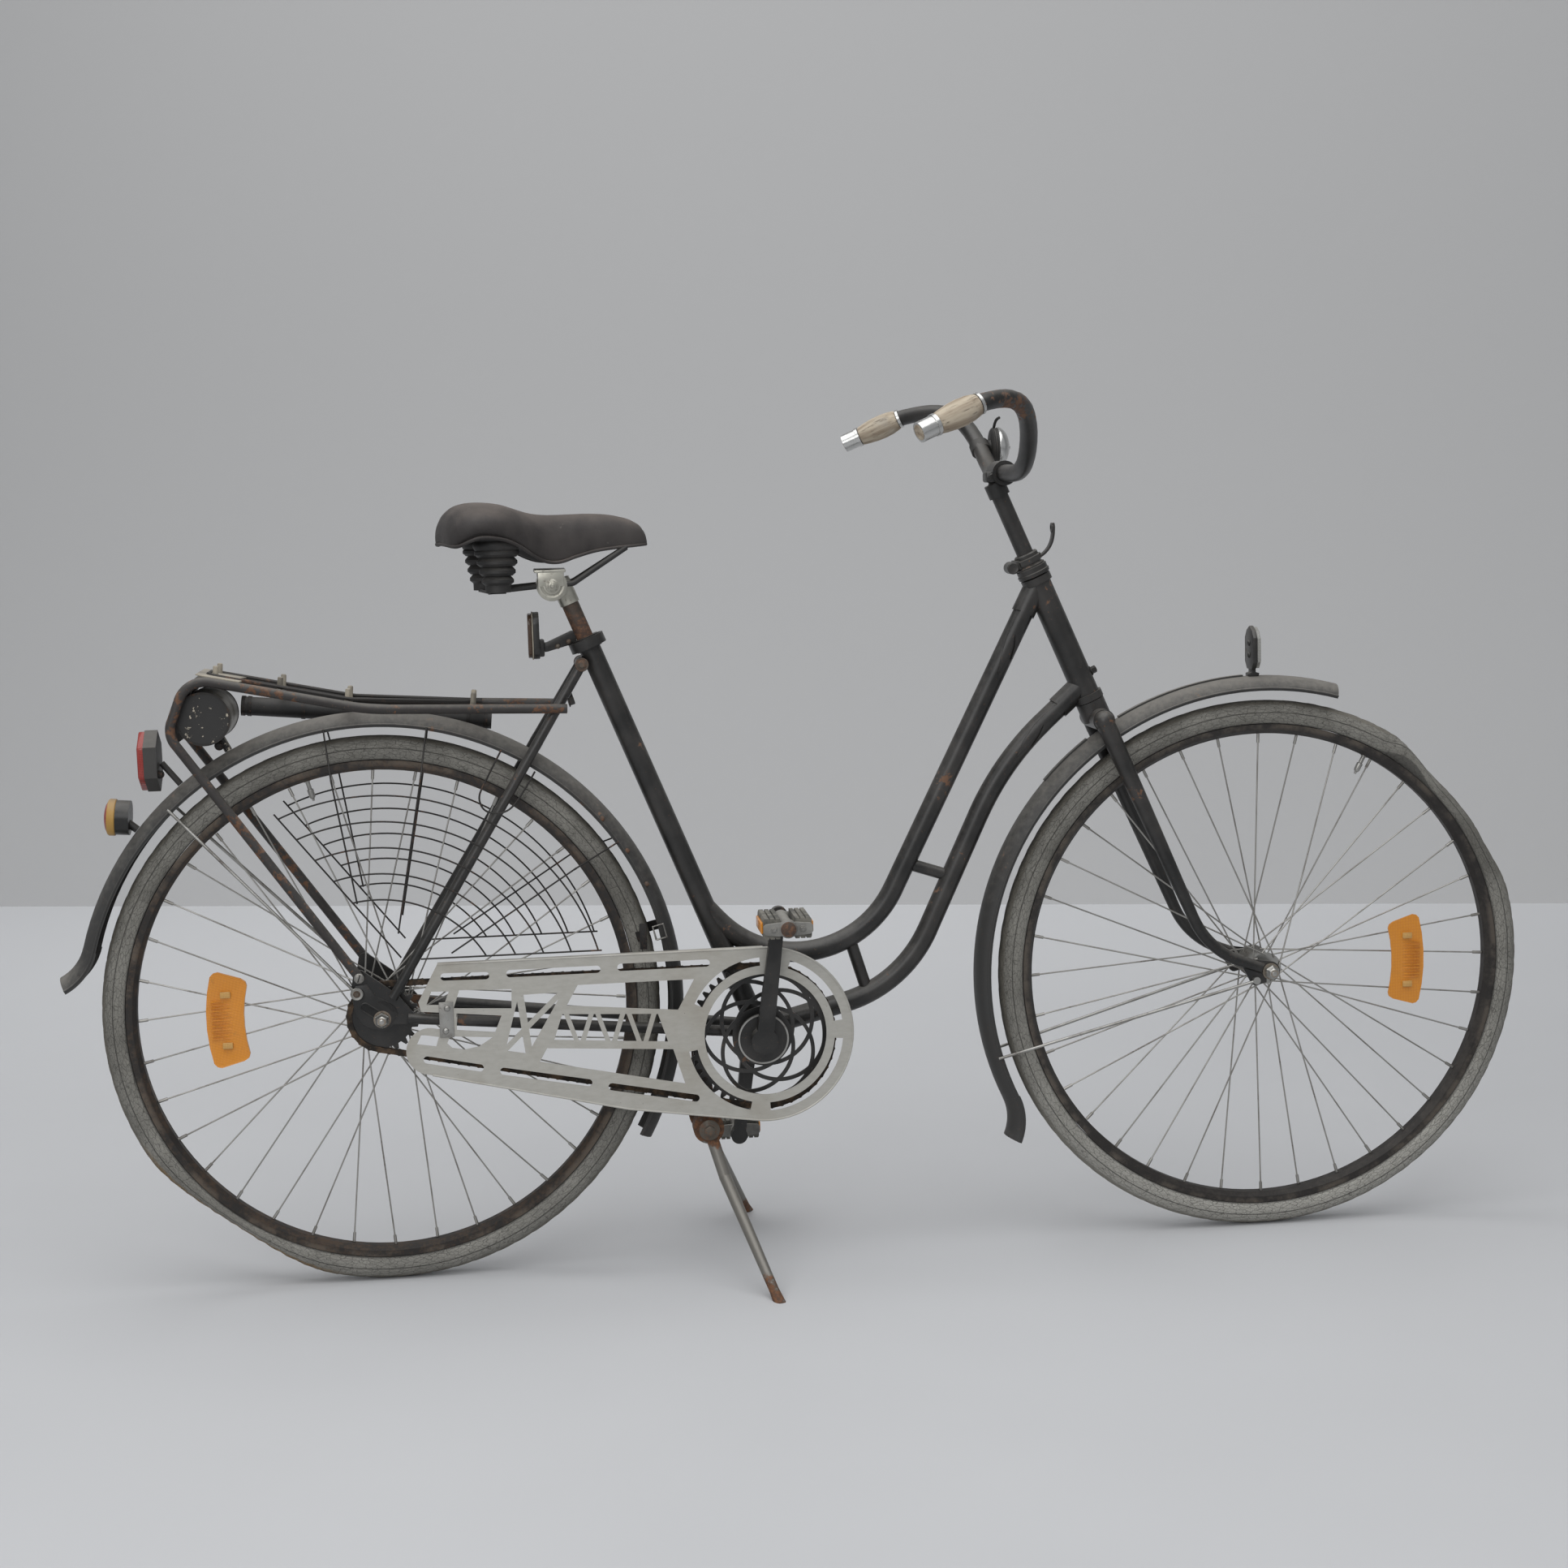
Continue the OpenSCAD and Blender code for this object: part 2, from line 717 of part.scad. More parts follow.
function net_edge(r) = rear_hub + r * ray(net_lean + acos(net_off / r));
function spreader(top, turn, low_r) = [
  lift(rear_hub + (rear_guard_r - 15) * ray(top), guard_half_w + net_wire_r + seat_gap),
  lift(rear_hub + (net_last_r + 24) * ray(top + turn / 4), spread_y),
  lift(rear_hub + low_r * ray(top + turn), spread_y)];

module skirt_net() {
  for (i = [0:net_rows - 1]) {
    r = net_inner_r + i * net_pitch;
    from = asin(net_base / r);
    translate([0, net_y, 0]) about_axle(rear_hub) rotate([0, 0, from])
      rotate_extrude(angle = net_lean + acos(net_off / r) - from)
        translate([r, 0]) circle(r = net_wire_r, $fn = 16);
  }
  low_r = net_base / sin(65);
  rod(lift(net_edge(net_last_r + 8), spread_y), lift(net_edge(low_r), spread_y), net_wire_r);
  rod(rear_hub + [52, spread_y, net_base], rear_hub + [net_last_r * 0.98, spread_y, net_base],
    net_wire_r);
  for (w = [spreader(99, 0, 152), spreader(79, -2, 113), spreader(34, 8, 122)])
    bent_bar(w, [6], net_wire_r);
}

module skirt_net_left() {
  color("black") from_axle() skirt_net();
}

module skirt_net_right() {
  color("black") from_axle() mirror([0, 1, 0]) skirt_net();
}

// Chain guard: a pierced sheet with a ring-shaped window, drawn from the rear axle
guard_sheet_t = 1.2;
guard_mid = [bb_run + 3, 6 - bb_drop];
tongue_at = [58, -44];
tongue_r = 30;
slot_r = 4.8;
ring_slot_in = 90;
ring_slot_out = 101;
ring_slots = [[93, 154], [8, 70], [-88, -6], [-170, -103]];
clip_x = 84;
clip_half = 9;
truss_from = 208;
truss_step = 20;
truss_cells = 6;
strut = 7.4;
lip_w = 11;

function truss_top(x) = -4 - 0.05 * (x - 212);
function truss_low(x) = -37.6 - 0.068 * (x - 212);
function truss_at(x, up) = [x, up ? truss_top(x) : truss_low(x)];
function shrink(points, k) =
  let (c = (points[0] + points[1] + points[2]) / 3) [for (p = points) c + k * (p - c)];

module slot(a, b) {
  d = unit(b - a) * slot_r;
  n = [-d[1], d[0]];
  translate(a) circle(r = slot_r);
  translate(b) circle(r = slot_r);
  polygon([a + n, b + n, b - n, a - n]);
}

module guard_outline() {
  top = guard_mid + [0, guard_disc_r];
  polygon([[72, 68], top, guard_mid, guard_mid + [-9, 0.2 - guard_disc_r],
      guard_mid + [-87, -102.5], [307, -133.7], [51, -73.2], tongue_at, [55, -14.2],
      [141, -23.4], [150, -2.5], [49, 7.8], [46, 20]]);
  translate(tongue_at) circle(r = tongue_r);
  translate(guard_mid) circle(r = guard_disc_r);
  translate([clip_x - clip_half, -20]) square([2 * clip_half, 30]);
}

module guard_ring_slot(from, to) {
  far = 2 * ring_slot_out;
  half = (to - from) / 2;
  translate(guard_mid) rotate((from + to) / 2) intersection() {
    difference() {
      circle(r = ring_slot_out);
      circle(r = ring_slot_in);
    }
    polygon([[0, 0], far * [cos(half), -sin(half)], far * [cos(half), sin(half)]]);
  }
}

module guard_windows() {
  brace = [[172, 28], [234, 29], [182, -57], [150, -51]];
  brace_mid = [178, -24];
  translate(guard_mid) circle(r = guard_window_r);
  for (w = ring_slots) guard_ring_slot(w[0], w[1]);
  slot([80, 51], [132, 50]);
  slot([163, 51], [273, 51]);
  slot([304, 52], [413, 52]);
  slot([54, -55], [120, -69]);
  slot([150, -75], [257, -96]);
  slot([287, -103], [394, -124]);
  polygon([[63, 33], [85, 32], [78, 15], [56, 16]]);
  polygon([[98, 33], [164, 31], [163, 6], [90, 10]]);
  polygon([[84, -26], [138, -30], [120, -41], [102, -44], [86, -41], [80, -35]]);
  polygon([[48, -22], [70, -26], [66, -38], [42, -34]]);
  polygon([[248, 32], [397, 32], [375, -7], [233, 6]]);
  polygon([[206, -48], [367, -58], [381, -104], [196, -65]]);
  for (i = [0:3])
    polygon(shrink([brace[i], brace[(i + 1) % 4], brace_mid], 0.7));
  for (i = [0:truss_cells]) {
    x = truss_from + i * truss_step;
    up = i % 2 == 1;
    polygon([truss_at(x + strut, up), truss_at(x + 2 * truss_step - strut, up),
        truss_at(x + truss_step + 1, !up), truss_at(x + truss_step - 1, !up)]);
  }
}

module chain_guard() {
  top = guard_mid + [0, guard_disc_r];
  share = (bb_run - clip_x) / (bb_run - stay_end[0]);
  d = unit(lift(rear_hub + stay_end, -stay_end_y) - lift(bb, -chain_stay_in));
  clip = mid(lift(bb, -chain_stay_in), lift(rear_hub + stay_end, -stay_end_y), share);
  color("silver") from_axle() {
    translate(rear_hub) side_plate(-guard_plane - guard_sheet_t / 2, -guard_plane + guard_sheet_t / 2)
      difference() {
        guard_outline();
        guard_windows();
      }
    translate(rear_hub) side_plate(-guard_plane, -guard_plane + lip_w)
      polygon([[72, 68], top, top - [0, guard_sheet_t], [72, 68 - guard_sheet_t]]);
    difference() {
      rod(clip - clip_half * d, clip + clip_half * d, guard_plane + clip[1]);
      rod(clip - 2 * clip_half * d, clip + 2 * clip_half * d, chain_stay_r + seat_gap);
    }
  }
}

// Chain: two rows of plates round both sets of teeth, rollers on the straight runs
link_half_h = 4.4;
roller_r = 3.8;
plate_in = 1.9;
plate_t = 1.3;
chain_span = norm(bb - rear_hub);
chain_base = atan2(bb[2] - rear_hub[2], bb[0] - rear_hub[0]);
chain_fan = acos((ring_r - sprocket_r) / chain_span);

module belt(extra) {
  translate([bb[0], bb[2]]) circle(r = ring_r + extra);
  translate([rear_hub[0], rear_hub[2]]) circle(r = sprocket_r + extra);
  ends = [[bb, ring_r, 1], [rear_hub, sprocket_r, 1], [rear_hub, sprocket_r, -1], [bb, ring_r, -1]];
  polygon([for (e = ends)
    let (p = e[0] + (e[1] + extra) * ray(chain_base + 180 - e[2] * chain_fan)) [p[0], p[2]]]);
}

module chain() {
  color("dimgray") from_axle() {
    for (y = [-chain_line - plate_in - plate_t, -chain_line + plate_in])
      side_plate(y, y + plate_t) difference() {
        belt(link_half_h);
        belt(-link_half_h);
      }
    for (side = [1, -1]) {
      u = ray(chain_base + 180 - side * chain_fan);
      a = rear_hub + sprocket_r * u;
      b = bb + ring_r * u;
      run = norm(b - a);
      for (s = [32:pitch * 2:run - 44])
        across(mid(a, b, s / run), -chain_line - plate_in, -chain_line + plate_in, roller_r);
    }
  }
}

// Saddle, its frame and the post
post_up = 78;
clamp_at = seat_top + post_up * seat_dir - 12 * seat_side;
clamp_r = 19;
clamp_half = 26;

module seat_post() {
  color("silver") from_axle() {
    rod(seat_top - (post_depth - 8) * seat_dir, seat_top + post_up * seat_dir, post_r);
    across(clamp_at, -clamp_half, clamp_half, clamp_r);
  }
}

saddle_behind = 139.2;
saddle_back = clamp_at[0] - saddle_behind;
saddle_top = clamp_at[2] + saddle_rise;
rear_ball_r = 36;
nose_ball_r = 20;
waist_ball_r = 26;
waist_ahead = 85;
waist_drop = 12;
nose_drop = 22;
saddle_back_x = saddle_back + rear_ball_r;
saddle_nose_x = saddle_back + saddle_len - nose_ball_r;

module on_post() {
  translate([clamp_at[0], 0, 0]) rotate([0, 0, saddle_turn]) translate([-clamp_at[0], 0, 0])
    children();
}

rear_flat = 0.75;
waist_tall = 1.2;
nose_flat = 0.85;
under = saddle_top - 2 * rear_ball_r * rear_flat;

module ball(x, y, top, r, tall) {
  translate([x, y, top - r * tall]) scale([1, 1, tall]) sphere(r = r, $fn = 32);
}

module waist_ball() {
  ball(saddle_back_x + waist_ahead, 0, saddle_top - waist_drop, waist_ball_r, waist_tall);
}

module saddle() {
  color("dimgray") from_axle() on_post() difference() {
    union() {
      hull() {
        for (y = [-1, 1])
          ball(saddle_back_x, y * (saddle_half_w - rear_ball_r), saddle_top, rear_ball_r, rear_flat);
        waist_ball();
      }
      hull() {
        waist_ball();
        ball(saddle_nose_x, 0, saddle_top - nose_drop, nose_ball_r, nose_flat);
      }
    }
    for (y = [-spring_half, spring_half])
      translate([spring_x, y, spring_low]) cylinder(h = under - spring_low, r = spring_r + lap);
  }
}

spring_r = 28;
fold_count = 4;
fold_depth = 4;
fold_grow = 2.6;
spring_foot_r = 16;
spring_foot_h = 9;
spring_drop = 5.2;
spring_low = clamp_at[2] - spring_drop;
spring_half = 50;
spring_behind = 76.2;
spring_x = clamp_at[0] - spring_behind;
rail_bend_ahead = 27;
rail_wire_r = 3.5;
spring_plate_t = 4;

// A rubber bellows, wider fold by fold towards the saddle
module bellows(h) {
  fold_h = (h - spring_foot_h) / fold_count;
  first_r = spring_r - (fold_count - 1) * fold_grow;
  folds = [for (i = [0:fold_count - 1]) let (r = first_r + i * fold_grow, z = spring_foot_h + i * fold_h)
    each [[r - fold_depth, z], [r, z + 0.3 * fold_h], [r, z + 0.6 * fold_h], [r - fold_depth, z + fold_h]]];
  rotate_extrude()
    polygon(concat([[0, 0], [spring_foot_r, 0], [spring_foot_r, spring_foot_h - 2]], folds, [[0, h]]));
}

module saddle_frame() {
  nose_under = saddle_top - nose_drop - 2 * nose_ball_r * nose_flat - 4;
  y_clamp = clamp_half + rail_wire_r + seat_gap;
  color("black") from_axle() {
    on_post() {
      for (y = [-spring_half, spring_half])
        translate([spring_x, y, spring_low]) bellows(under - seat_gap - spring_low);
      translate([spring_x - 10, -spring_half, spring_low - spring_plate_t / 2])
        cube([20, 2 * spring_half, spring_plate_t]);
    }
    both_sides()
      bent_bar([[spring_x - 4, y_clamp + 6, spring_low], clamp_at + [-16, y_clamp, 0],
          clamp_at + [rail_bend_ahead, y_clamp, 2], [saddle_nose_x - 8, 8, nose_under]], [12, 12], rail_wire_r);
  }
}

band_wall = 2.7;
band_half = 5;
band_at = seat_top - (collar_len / 2) * seat_dir;

module post_reflector() {
  p = [seat_top[0] - 59, 0, seat_top[2] + 4];
  band_bore = seat_tube_r + collar_wall + seat_gap;
  color("orangered") from_axle() {
    translate(p - [14, 22, 30]) cube([14, 44, 60]);
    difference() {
      union() {
        rod(band_at - band_half * seat_dir, band_at + band_half * seat_dir, band_bore + band_wall);
        translate([p[0] - 2, -6, band_at[2] - 2]) cube([band_at[0] - p[0], 12, 4]);
      }
      rod(band_at - 40 * seat_dir, band_at + 40 * seat_dir, band_bore);
    }
  }
}

hex_half_w = 28;
hex_half_h = 39;
hex_t = 16;
hex_arm_r = 4;
hex_at = 128.5;
hex_reach = 40;

module tail_reflector() {
  c = rear_hub + (rear_guard_r + hex_reach) * ray(hex_at);
  color("red") from_axle() {
    translate(c - [hex_t, 0, 0]) rotate([90, 0, 90]) linear_extrude(hex_t)
      polygon([[-hex_half_w, -hex_half_h / 2], [0, -hex_half_h], [hex_half_w, -hex_half_h / 2],
          [hex_half_w, hex_half_h / 2], [0, hex_half_h], [-hex_half_w, hex_half_h / 2]]);
    rod(rear_hub + (rear_guard_r + seat_gap) * ray(hex_at), c - hex_arm_r * ray(hex_at), hex_arm_r);
  }
}

cup_r = 22;
cup_half = 12;
cup_at = 140.3;
cup_reach = 26;

module guard_reflector() {
  c = rear_hub + (rear_guard_r + cup_reach) * ray(cup_at);
  color("red") from_axle() {
    rod(c + [cup_half, 0, -1], c + [-cup_half, 0, 1], cup_r);
    rod(rear_hub + (rear_guard_r + seat_gap) * ray(cup_at), c, 5);
  }
}

// Stand
stand_pivot = [stand_x, 0, bb[2] - stand_drop];
pivot_bolt_r = 5;
ear_in = 18;
ear_t = 5;
ear_r = 14;
ear_top_r = 8;

module stand_bracket() {
  top = bridge - [0, 0, bridge_r + ear_top_r + seat_gap];
  color("dimgray") from_axle() difference() {
    union() {
      both_sides() side_plate(ear_in, ear_in + ear_t) hull() {
        translate([stand_pivot[0], stand_pivot[2]]) circle(r = ear_r);
        translate([top[0], top[2]]) circle(r = ear_top_r);
      }
      across(top, -ear_in - 1, ear_in + 1, ear_top_r - 1);
    }
    across(stand_pivot, -50, 50, pivot_bolt_r + run_gap);
  }
}

foot_r = 6;
flare_len = 26;
hip_disc_r = 20;
leg_knee = [18, 0, -62];
knee_half = 62;
pivot_half = 40;
floor_cut = 400;

module stand_legs() {
  foot = [stand_x + foot_ahead, foot_half, 0];
  knee = stand_pivot + leg_knee + [0, knee_half, 0];
  hip = lift(stand_pivot, pivot_half);
  color("gray") from_axle() {
    across(stand_pivot, -pivot_half, pivot_half, pivot_bolt_r);
    difference() {
      both_sides() {
        down = unit(foot - knee);
        rod(hip, knee, leg_r);
        translate(knee) sphere(r = leg_r + swell);
        rod(knee, foot + leg_r * down, leg_r, foot_r);
        rod(foot - flare_len * down, foot + leg_r * down, foot_r - 0.5, leg_r);
        across(stand_pivot, ear_in + ear_t + seat_gap, pivot_half + 8, hip_disc_r);
      }
      translate([stand_x - floor_cut, -floor_cut, -floor_cut])
        cube([2 * floor_cut, 2 * floor_cut, floor_cut]);
    }
  }
}

// Fork, stem and handlebar
blade_bend = [wheelbase - 84, 0, wheel_r + 32];
blade_bend_r = 110;

module fork_blade() {
  top = lift(crown, crown_half);
  bend = lift(blade_bend, front_half + 2);
  tip = lift(front_hub, front_half + 2) + [-10, 0, 4];
  off = set_off(top, bend, tip, blade_bend_r);
  down = unit(bend - top);
  rod(top, bend - (off - lap) * down, blade_r, blade_tip_r);
  elbow(top, bend, tip, blade_bend_r, blade_tip_r);
  rod(bend + (off - lap) * unit(tip - bend), tip, blade_tip_r);
}

front_eye = [-20, 0, -11];

module front_fork_end() {
  difference() {
    hull() {
      translate([front_hub[0], front_hub[2]]) circle(r = 13);
      translate([front_hub[0] - 30, front_hub[2] + 10]) circle(r = 8);
      translate([front_hub[0] + front_eye[0], front_hub[2] + front_eye[2]]) circle(r = 7);
    }
    translate([front_hub[0], front_hub[2]]) circle(r = slot_half);
    translate([front_hub[0] - slot_half, front_hub[2] - 30]) square([2 * slot_half, 30]);
  }
}

module fork() {
  color("dimgray") from_axle() difference() {
    union() {
      rod(crown, head_top + 6 * head_dir, steerer_r);
      both_sides() {
        fork_blade();
        side_plate(front_half, front_half + fork_end_t) front_fork_end();
      }
      across(crown, -crown_half, crown_half, crown_r);
      both_sides() translate(lift(crown, crown_half)) sphere(r = blade_r + 1);
      rod(crown, head_low - 1 * head_dir, head_r + 2);
    }
    across(front_hub, -front_half - 30, front_half + 30, slot_half);
    both_sides() translate([front_hub[0] - slot_half, front_half - 30, front_hub[2] - 30])
      cube([2 * slot_half, 30, 30]);
    both_sides() {
      across(front_hub, front_half - 40, front_half, 16);
      across(front_hub, front_half + fork_end_t, front_half + 40, nut_r + 4);
    }
  }
}

collar_gap = 1;
lamp_hole_r = 3.25;
lamp_t = 3;
lamp_half_w = 9;
lamp_reach = 36;
lamp_rise = 38;

module fork_collar() {
  low = head_top + collar_gap * head_dir;
  base = head_top + 20 * head_dir;
  lamp = base + lamp_reach * head_front;
  color("dimgray") from_axle() difference() {
    union() {
      rod(low, low + 16 * head_dir, head_r + 2);
      rod(low, low + 32 * head_dir, head_r - 1);
      multmatrix([[head_front[0], 0, head_dir[0], base[0]], [0, 1, 0, 0],
          [head_front[2], 0, head_dir[2], base[2]], [0, 0, 0, 1]])
        translate([10, -lamp_half_w, 0]) cube([lamp_reach - 9, 2 * lamp_half_w, lamp_t]);
      translate(lamp - [0, lamp_half_w, 0]) cube([lamp_t, 2 * lamp_half_w, lamp_rise]);
    }
    rod(low - head_dir, low + 40 * head_dir, steerer_r + run_gap);
    translate(lamp + [-1, 0, lamp_rise - lamp_half_w]) rotate([0, 90, 0])
      cylinder(h = lamp_t + 2, r = lamp_hole_r);
  }
}

quill_foot = head_top + 8 * head_dir;
stem_top = head_top + (35 + quill_len) * head_dir;
bar_clamp = stem_top + 14 * head_front + 14 * head_dir;

module stem() {
  color("dimgray") from_axle() difference() {
    union() {
      rod(quill_foot, stem_top, quill_r);
      rod(stem_top - 12 * head_dir, stem_top + 6 * head_dir, quill_r + 3);
      rod(stem_top, bar_clamp, quill_r);
      across(bar_clamp, -22, 22, bar_r + 5);
    }
    across(bar_clamp, -30, 30, bar_r + run_gap);
  }
}

bar_mid = bar_clamp + [0, 40, 0];
bar_low = bar_clamp + [10, 118, -3];
bar_high = bar_clamp + [-6, 222, 94];
grip_in = bar_clamp + [-77, bar_half - 25, 84];
grip_out = bar_clamp + [-157, bar_half, 50];

module handlebar_bar(r) {
  bent_bar([lift(grip_out, -grip_out[1]), lift(grip_in, -grip_in[1]), lift(bar_high, -bar_high[1]),
      lift(bar_low, -bar_low[1]), lift(bar_mid, -bar_mid[1]), bar_mid, bar_low, bar_high,
      grip_in, grip_out], [24, 45, 50, 60, 60, 50, 45, 24], r);
}

module handlebar() {
  color("dimgray") from_axle() handlebar_bar(bar_r);
}

grip_from = 0.13;
grip_to = 0.76;
grip_form = [[0, -2.2], [0.04, -1.2], [0.2, 0.8], [0.42, 1.6], [0.64, 1], [0.85, -0.6], [0.97, -1.8], [1, -2.6]];

module grips() {
  a = mid(grip_in, grip_out, grip_from);
  d = grip_out - grip_in;
  h = norm(d) * (grip_to - grip_from);
  color("tan") from_axle() both_sides() difference() {
    translate(a) rotate([0, acos(d[2] / norm(d)), atan2(d[1], d[0])]) rotate_extrude()
      polygon(concat([[0, 0]], [for (s = grip_form) [grip_r + s[1], s[0] * h]], [[0, h]]));
    rod(grip_in, grip_out, bar_r + run_gap);
  }
}

module ferrules() {
  d = unit(grip_out - grip_in);
  color("silver") from_axle() both_sides() difference() {
    union() {
      rod(mid(grip_in, grip_out, grip_to + 0.01), grip_out + 4 * d, grip_r - 2.5);
      rod(mid(grip_in, grip_out, grip_to + 0.01), mid(grip_in, grip_out, grip_to + 0.06), grip_r - 1.4);
      rod(mid(grip_in, grip_out, grip_from - 0.05), mid(grip_in, grip_out, grip_from - 0.01),
        grip_r - 1.6);
    }
    rod(grip_in, grip_out + run_gap * d, bar_r + run_gap);
  }
}

bell_r = 25;
bell_base_t = 8;
dome_r = 27;
dome_h = 16;

module bell() {
  p = mid(bar_low, bar_high, 0.4);
  d = unit(bar_high - bar_low);
  color("silver") from_axle() difference() {
    union() {
      rod(p - 8 * d, p + 8 * d, bar_r + 3);
      translate(p) rotate([0, 90, 0]) {
        cylinder(h = bar_r + 8, r = 6);
        translate([0, 0, bar_r + 5]) cylinder(h = bell_base_t, r = bell_r);
        translate([0, 0, bar_r + 4 + bell_base_t]) rotate_extrude() intersection() {
          translate([0, dome_h - dome_r]) circle(r = dome_r);
          square([dome_r, dome_h]);
        }
      }
    }
    rod(p - 30 * d, p + 30 * d, bar_r + run_gap);
  }
}

crest_w = 8;
crest_h = 2;
crests = [[93, 119], [126.5, 138]];

module front_mudguard() {
  color("dimgray") from_axle() {
    mudguard(front_hub, front_guard_r, front_tip_at, front_tail_at, front_tail_at, -flare_turn);
    for (c = crests)
      about_axle(front_hub) rotate([0, 0, c[0]]) rotate_extrude(angle = c[1] - c[0])
        translate([front_guard_r - guard_t, -crest_w / 2]) square([guard_t + crest_h, crest_w]);
  }
}

module front_guard_stays() {
  lip = front_hub + (front_guard_r - 12) * ray(196);
  out_y = front_half + fork_end_t + guard_stay_r + stay_off;
  color("silver") from_axle() both_sides() {
    rod(lift(lip, guard_half_w + guard_stay_r + seat_gap), lift(front_hub + front_eye, out_y),
      guard_stay_r);
    across(front_hub + front_eye, front_half + fork_end_t + braze, out_y + guard_stay_r,
      stay_bolt_r);
  }
}

module front_reflector() {
  p = front_hub + (front_guard_r + seat_gap) * ray(91);
  color("white") from_axle() translate(p + [-7, -20, 0]) cube([14, 40, 66]);
}

module front_axle() {
  color("gray") from_axle() axle_with_nuts(front_hub, front_half);
}

// Wheels
rim_out_r = wheel_r - 2 * tyre_r + 6;
rim_in_r = rim_out_r - rim_depth;
tyre_base_r = rim_out_r + seat_gap;

sunk = 14;
front_sunk_at = 43;
rear_sunk_at = -127;
seam_off = 43;

// A slack tyre, pressed flat at one place
module tyre(hub, sunk_at) {
  far = 2 * wheel_r;
  translate(hub) rotate([0, seam_off - sunk_at, 0]) difference() {
    about_axle([0, 0, 0]) rotate_extrude() intersection() {
      translate([wheel_r - tyre_r, 0]) circle(r = tyre_r);
      translate([tyre_base_r, -tyre_r - 1]) square([2 * tyre_r, 2 * tyre_r + 2]);
    }
    rotate([0, -seam_off, 0]) translate([wheel_r - sunk, -far / 2, -far / 2])
      cube([far, far, far]);
  }
}

module rim(hub) {
  about_axle(hub) rotate_extrude()
    polygon([[rim_in_r, -6], [rim_in_r, 6], [rim_in_r + 5, rim_half_w], [rim_out_r, rim_half_w],
        [rim_out_r, -rim_half_w], [rim_in_r + 5, -rim_half_w]]);
}

flange_t = 2.4;
nipple_r = 2;
nipple_len = 12;
rim_y = 2.5;
spoke_off = 1;

module spoke(hub, flange_r, i, side) {
  step = 720 / spoke_count;
  lead = i % 2 == 0 ? 1 : -1;
  at = i * step + (side > 0 ? 0 : step / 2);
  cross = 3 * step;
  hole_y = side * (flange_half + lead * (flange_t / 2 + spoke_r + spoke_off));
  a = lift(hub + (flange_r - 3) * ray(at), hole_y);
  b = lift(hub + (rim_in_r - 0.6) * ray(at + lead * cross), side * rim_y);
  rod(a, b, spoke_r);
  rod(b - nipple_len * unit(b - a), b, nipple_r);
}

module spokes(hub, flange_r) {
  for (i = [0:spoke_count / 2 - 1])
    for (side = [-1, 1])
      spoke(hub, flange_r, i, side);
}

module hub_shell(hub, flange_r, barrel_r, half) {
  difference() {
    union() {
      across(hub, -half, half, barrel_r * 0.62);
      across(hub, -flange_half, flange_half, barrel_r);
      both_sides() across(hub, flange_half - flange_t / 2, flange_half + flange_t / 2, flange_r);
    }
    across(hub, -half - 1, half + 1, axle_r + run_gap);
  }
}

reflector_half = 24;
reflector_t = 4;
reflector_turn = 33;

// A curved reflector lying on the right-hand spokes
module wheel_reflector(hub, flange_r, at) {
  spoke_in = flange_half + flange_t / 2 + 2 * spoke_r + spoke_off + seat_gap;
  slope = (spoke_in - rim_y) / (rim_in_r - flange_r + 3);
  r0 = rim_in_r * 0.64 - reflector_half;
  r1 = r0 + 2 * reflector_half;
  y0 = rim_y + slope * (rim_in_r - r0) + spoke_r + seat_gap;
  y1 = rim_y + slope * (rim_in_r - r1) + spoke_r + seat_gap;
  color("orange") from_axle() about_axle(hub) rotate([0, 0, at - reflector_turn / 2])
    rotate_extrude(angle = reflector_turn)
      polygon([[r0, y0], [r1, y1], [r1, y1 + reflector_t], [r0, y0 + reflector_t]]);
}

module front_tyre() {
  color("gray") from_axle() tyre(front_hub, front_sunk_at);
}

module rear_tyre() {
  color("gray") from_axle() tyre(rear_hub, rear_sunk_at);
}

module front_rim() {
  color("dimgray") from_axle() rim(front_hub);
}

module rear_rim() {
  color("dimgray") from_axle() rim(rear_hub);
}

module front_spokes() {
  color("silver") from_axle() spokes(front_hub, front_flange_r);
}

module rear_spokes() {
  color("silver") from_axle() spokes(rear_hub, rear_flange_r);
}

module front_hub_shell() {
  color("gray") from_axle() hub_shell(front_hub, front_flange_r, 14, front_half - 1);
}

module rear_hub_shell() {
  color("gray") from_axle() hub_shell(rear_hub, rear_flange_r, 24, 37);
}

module front_spoke_reflector() {
  wheel_reflector(front_hub, front_flange_r, 0);
}

module rear_spoke_reflector() {
  wheel_reflector(rear_hub, rear_flange_r, 180);
}

// Sprocket, chainring and cranks
tooth_h = 3.4;
tooth_t = 2.2;
tooth_form = [[-0.33, -tooth_h], [-0.12, tooth_h], [0.12, tooth_h], [0.33, -tooth_h]];

module teeth(p, r, n) {
  translate([p[0], p[2]])
    polygon([for (i = [0:n - 1]) for (s = tooth_form)
      (r + s[1]) * [cos(360 / n * (i + s[0])), sin(360 / n * (i + s[0]))]]);
}

module sprocket() {
  color("dimgray") from_axle() difference() {
    union() {
      side_plate(-chain_line - tooth_t / 2, -chain_line + tooth_t / 2)
        teeth(rear_hub, sprocket_r, sprocket_teeth);
      across(rear_hub, -rear_half + 1, -38, 15);
    }
    across(rear_hub, -rear_half - 1, 0, axle_r + run_gap);
  }
}

pedal_dir = [sin(crank_lean), 0, cos(crank_lean)];
pedal_gap = 16;
boss_r = 17;
disc_cover_r = 33;

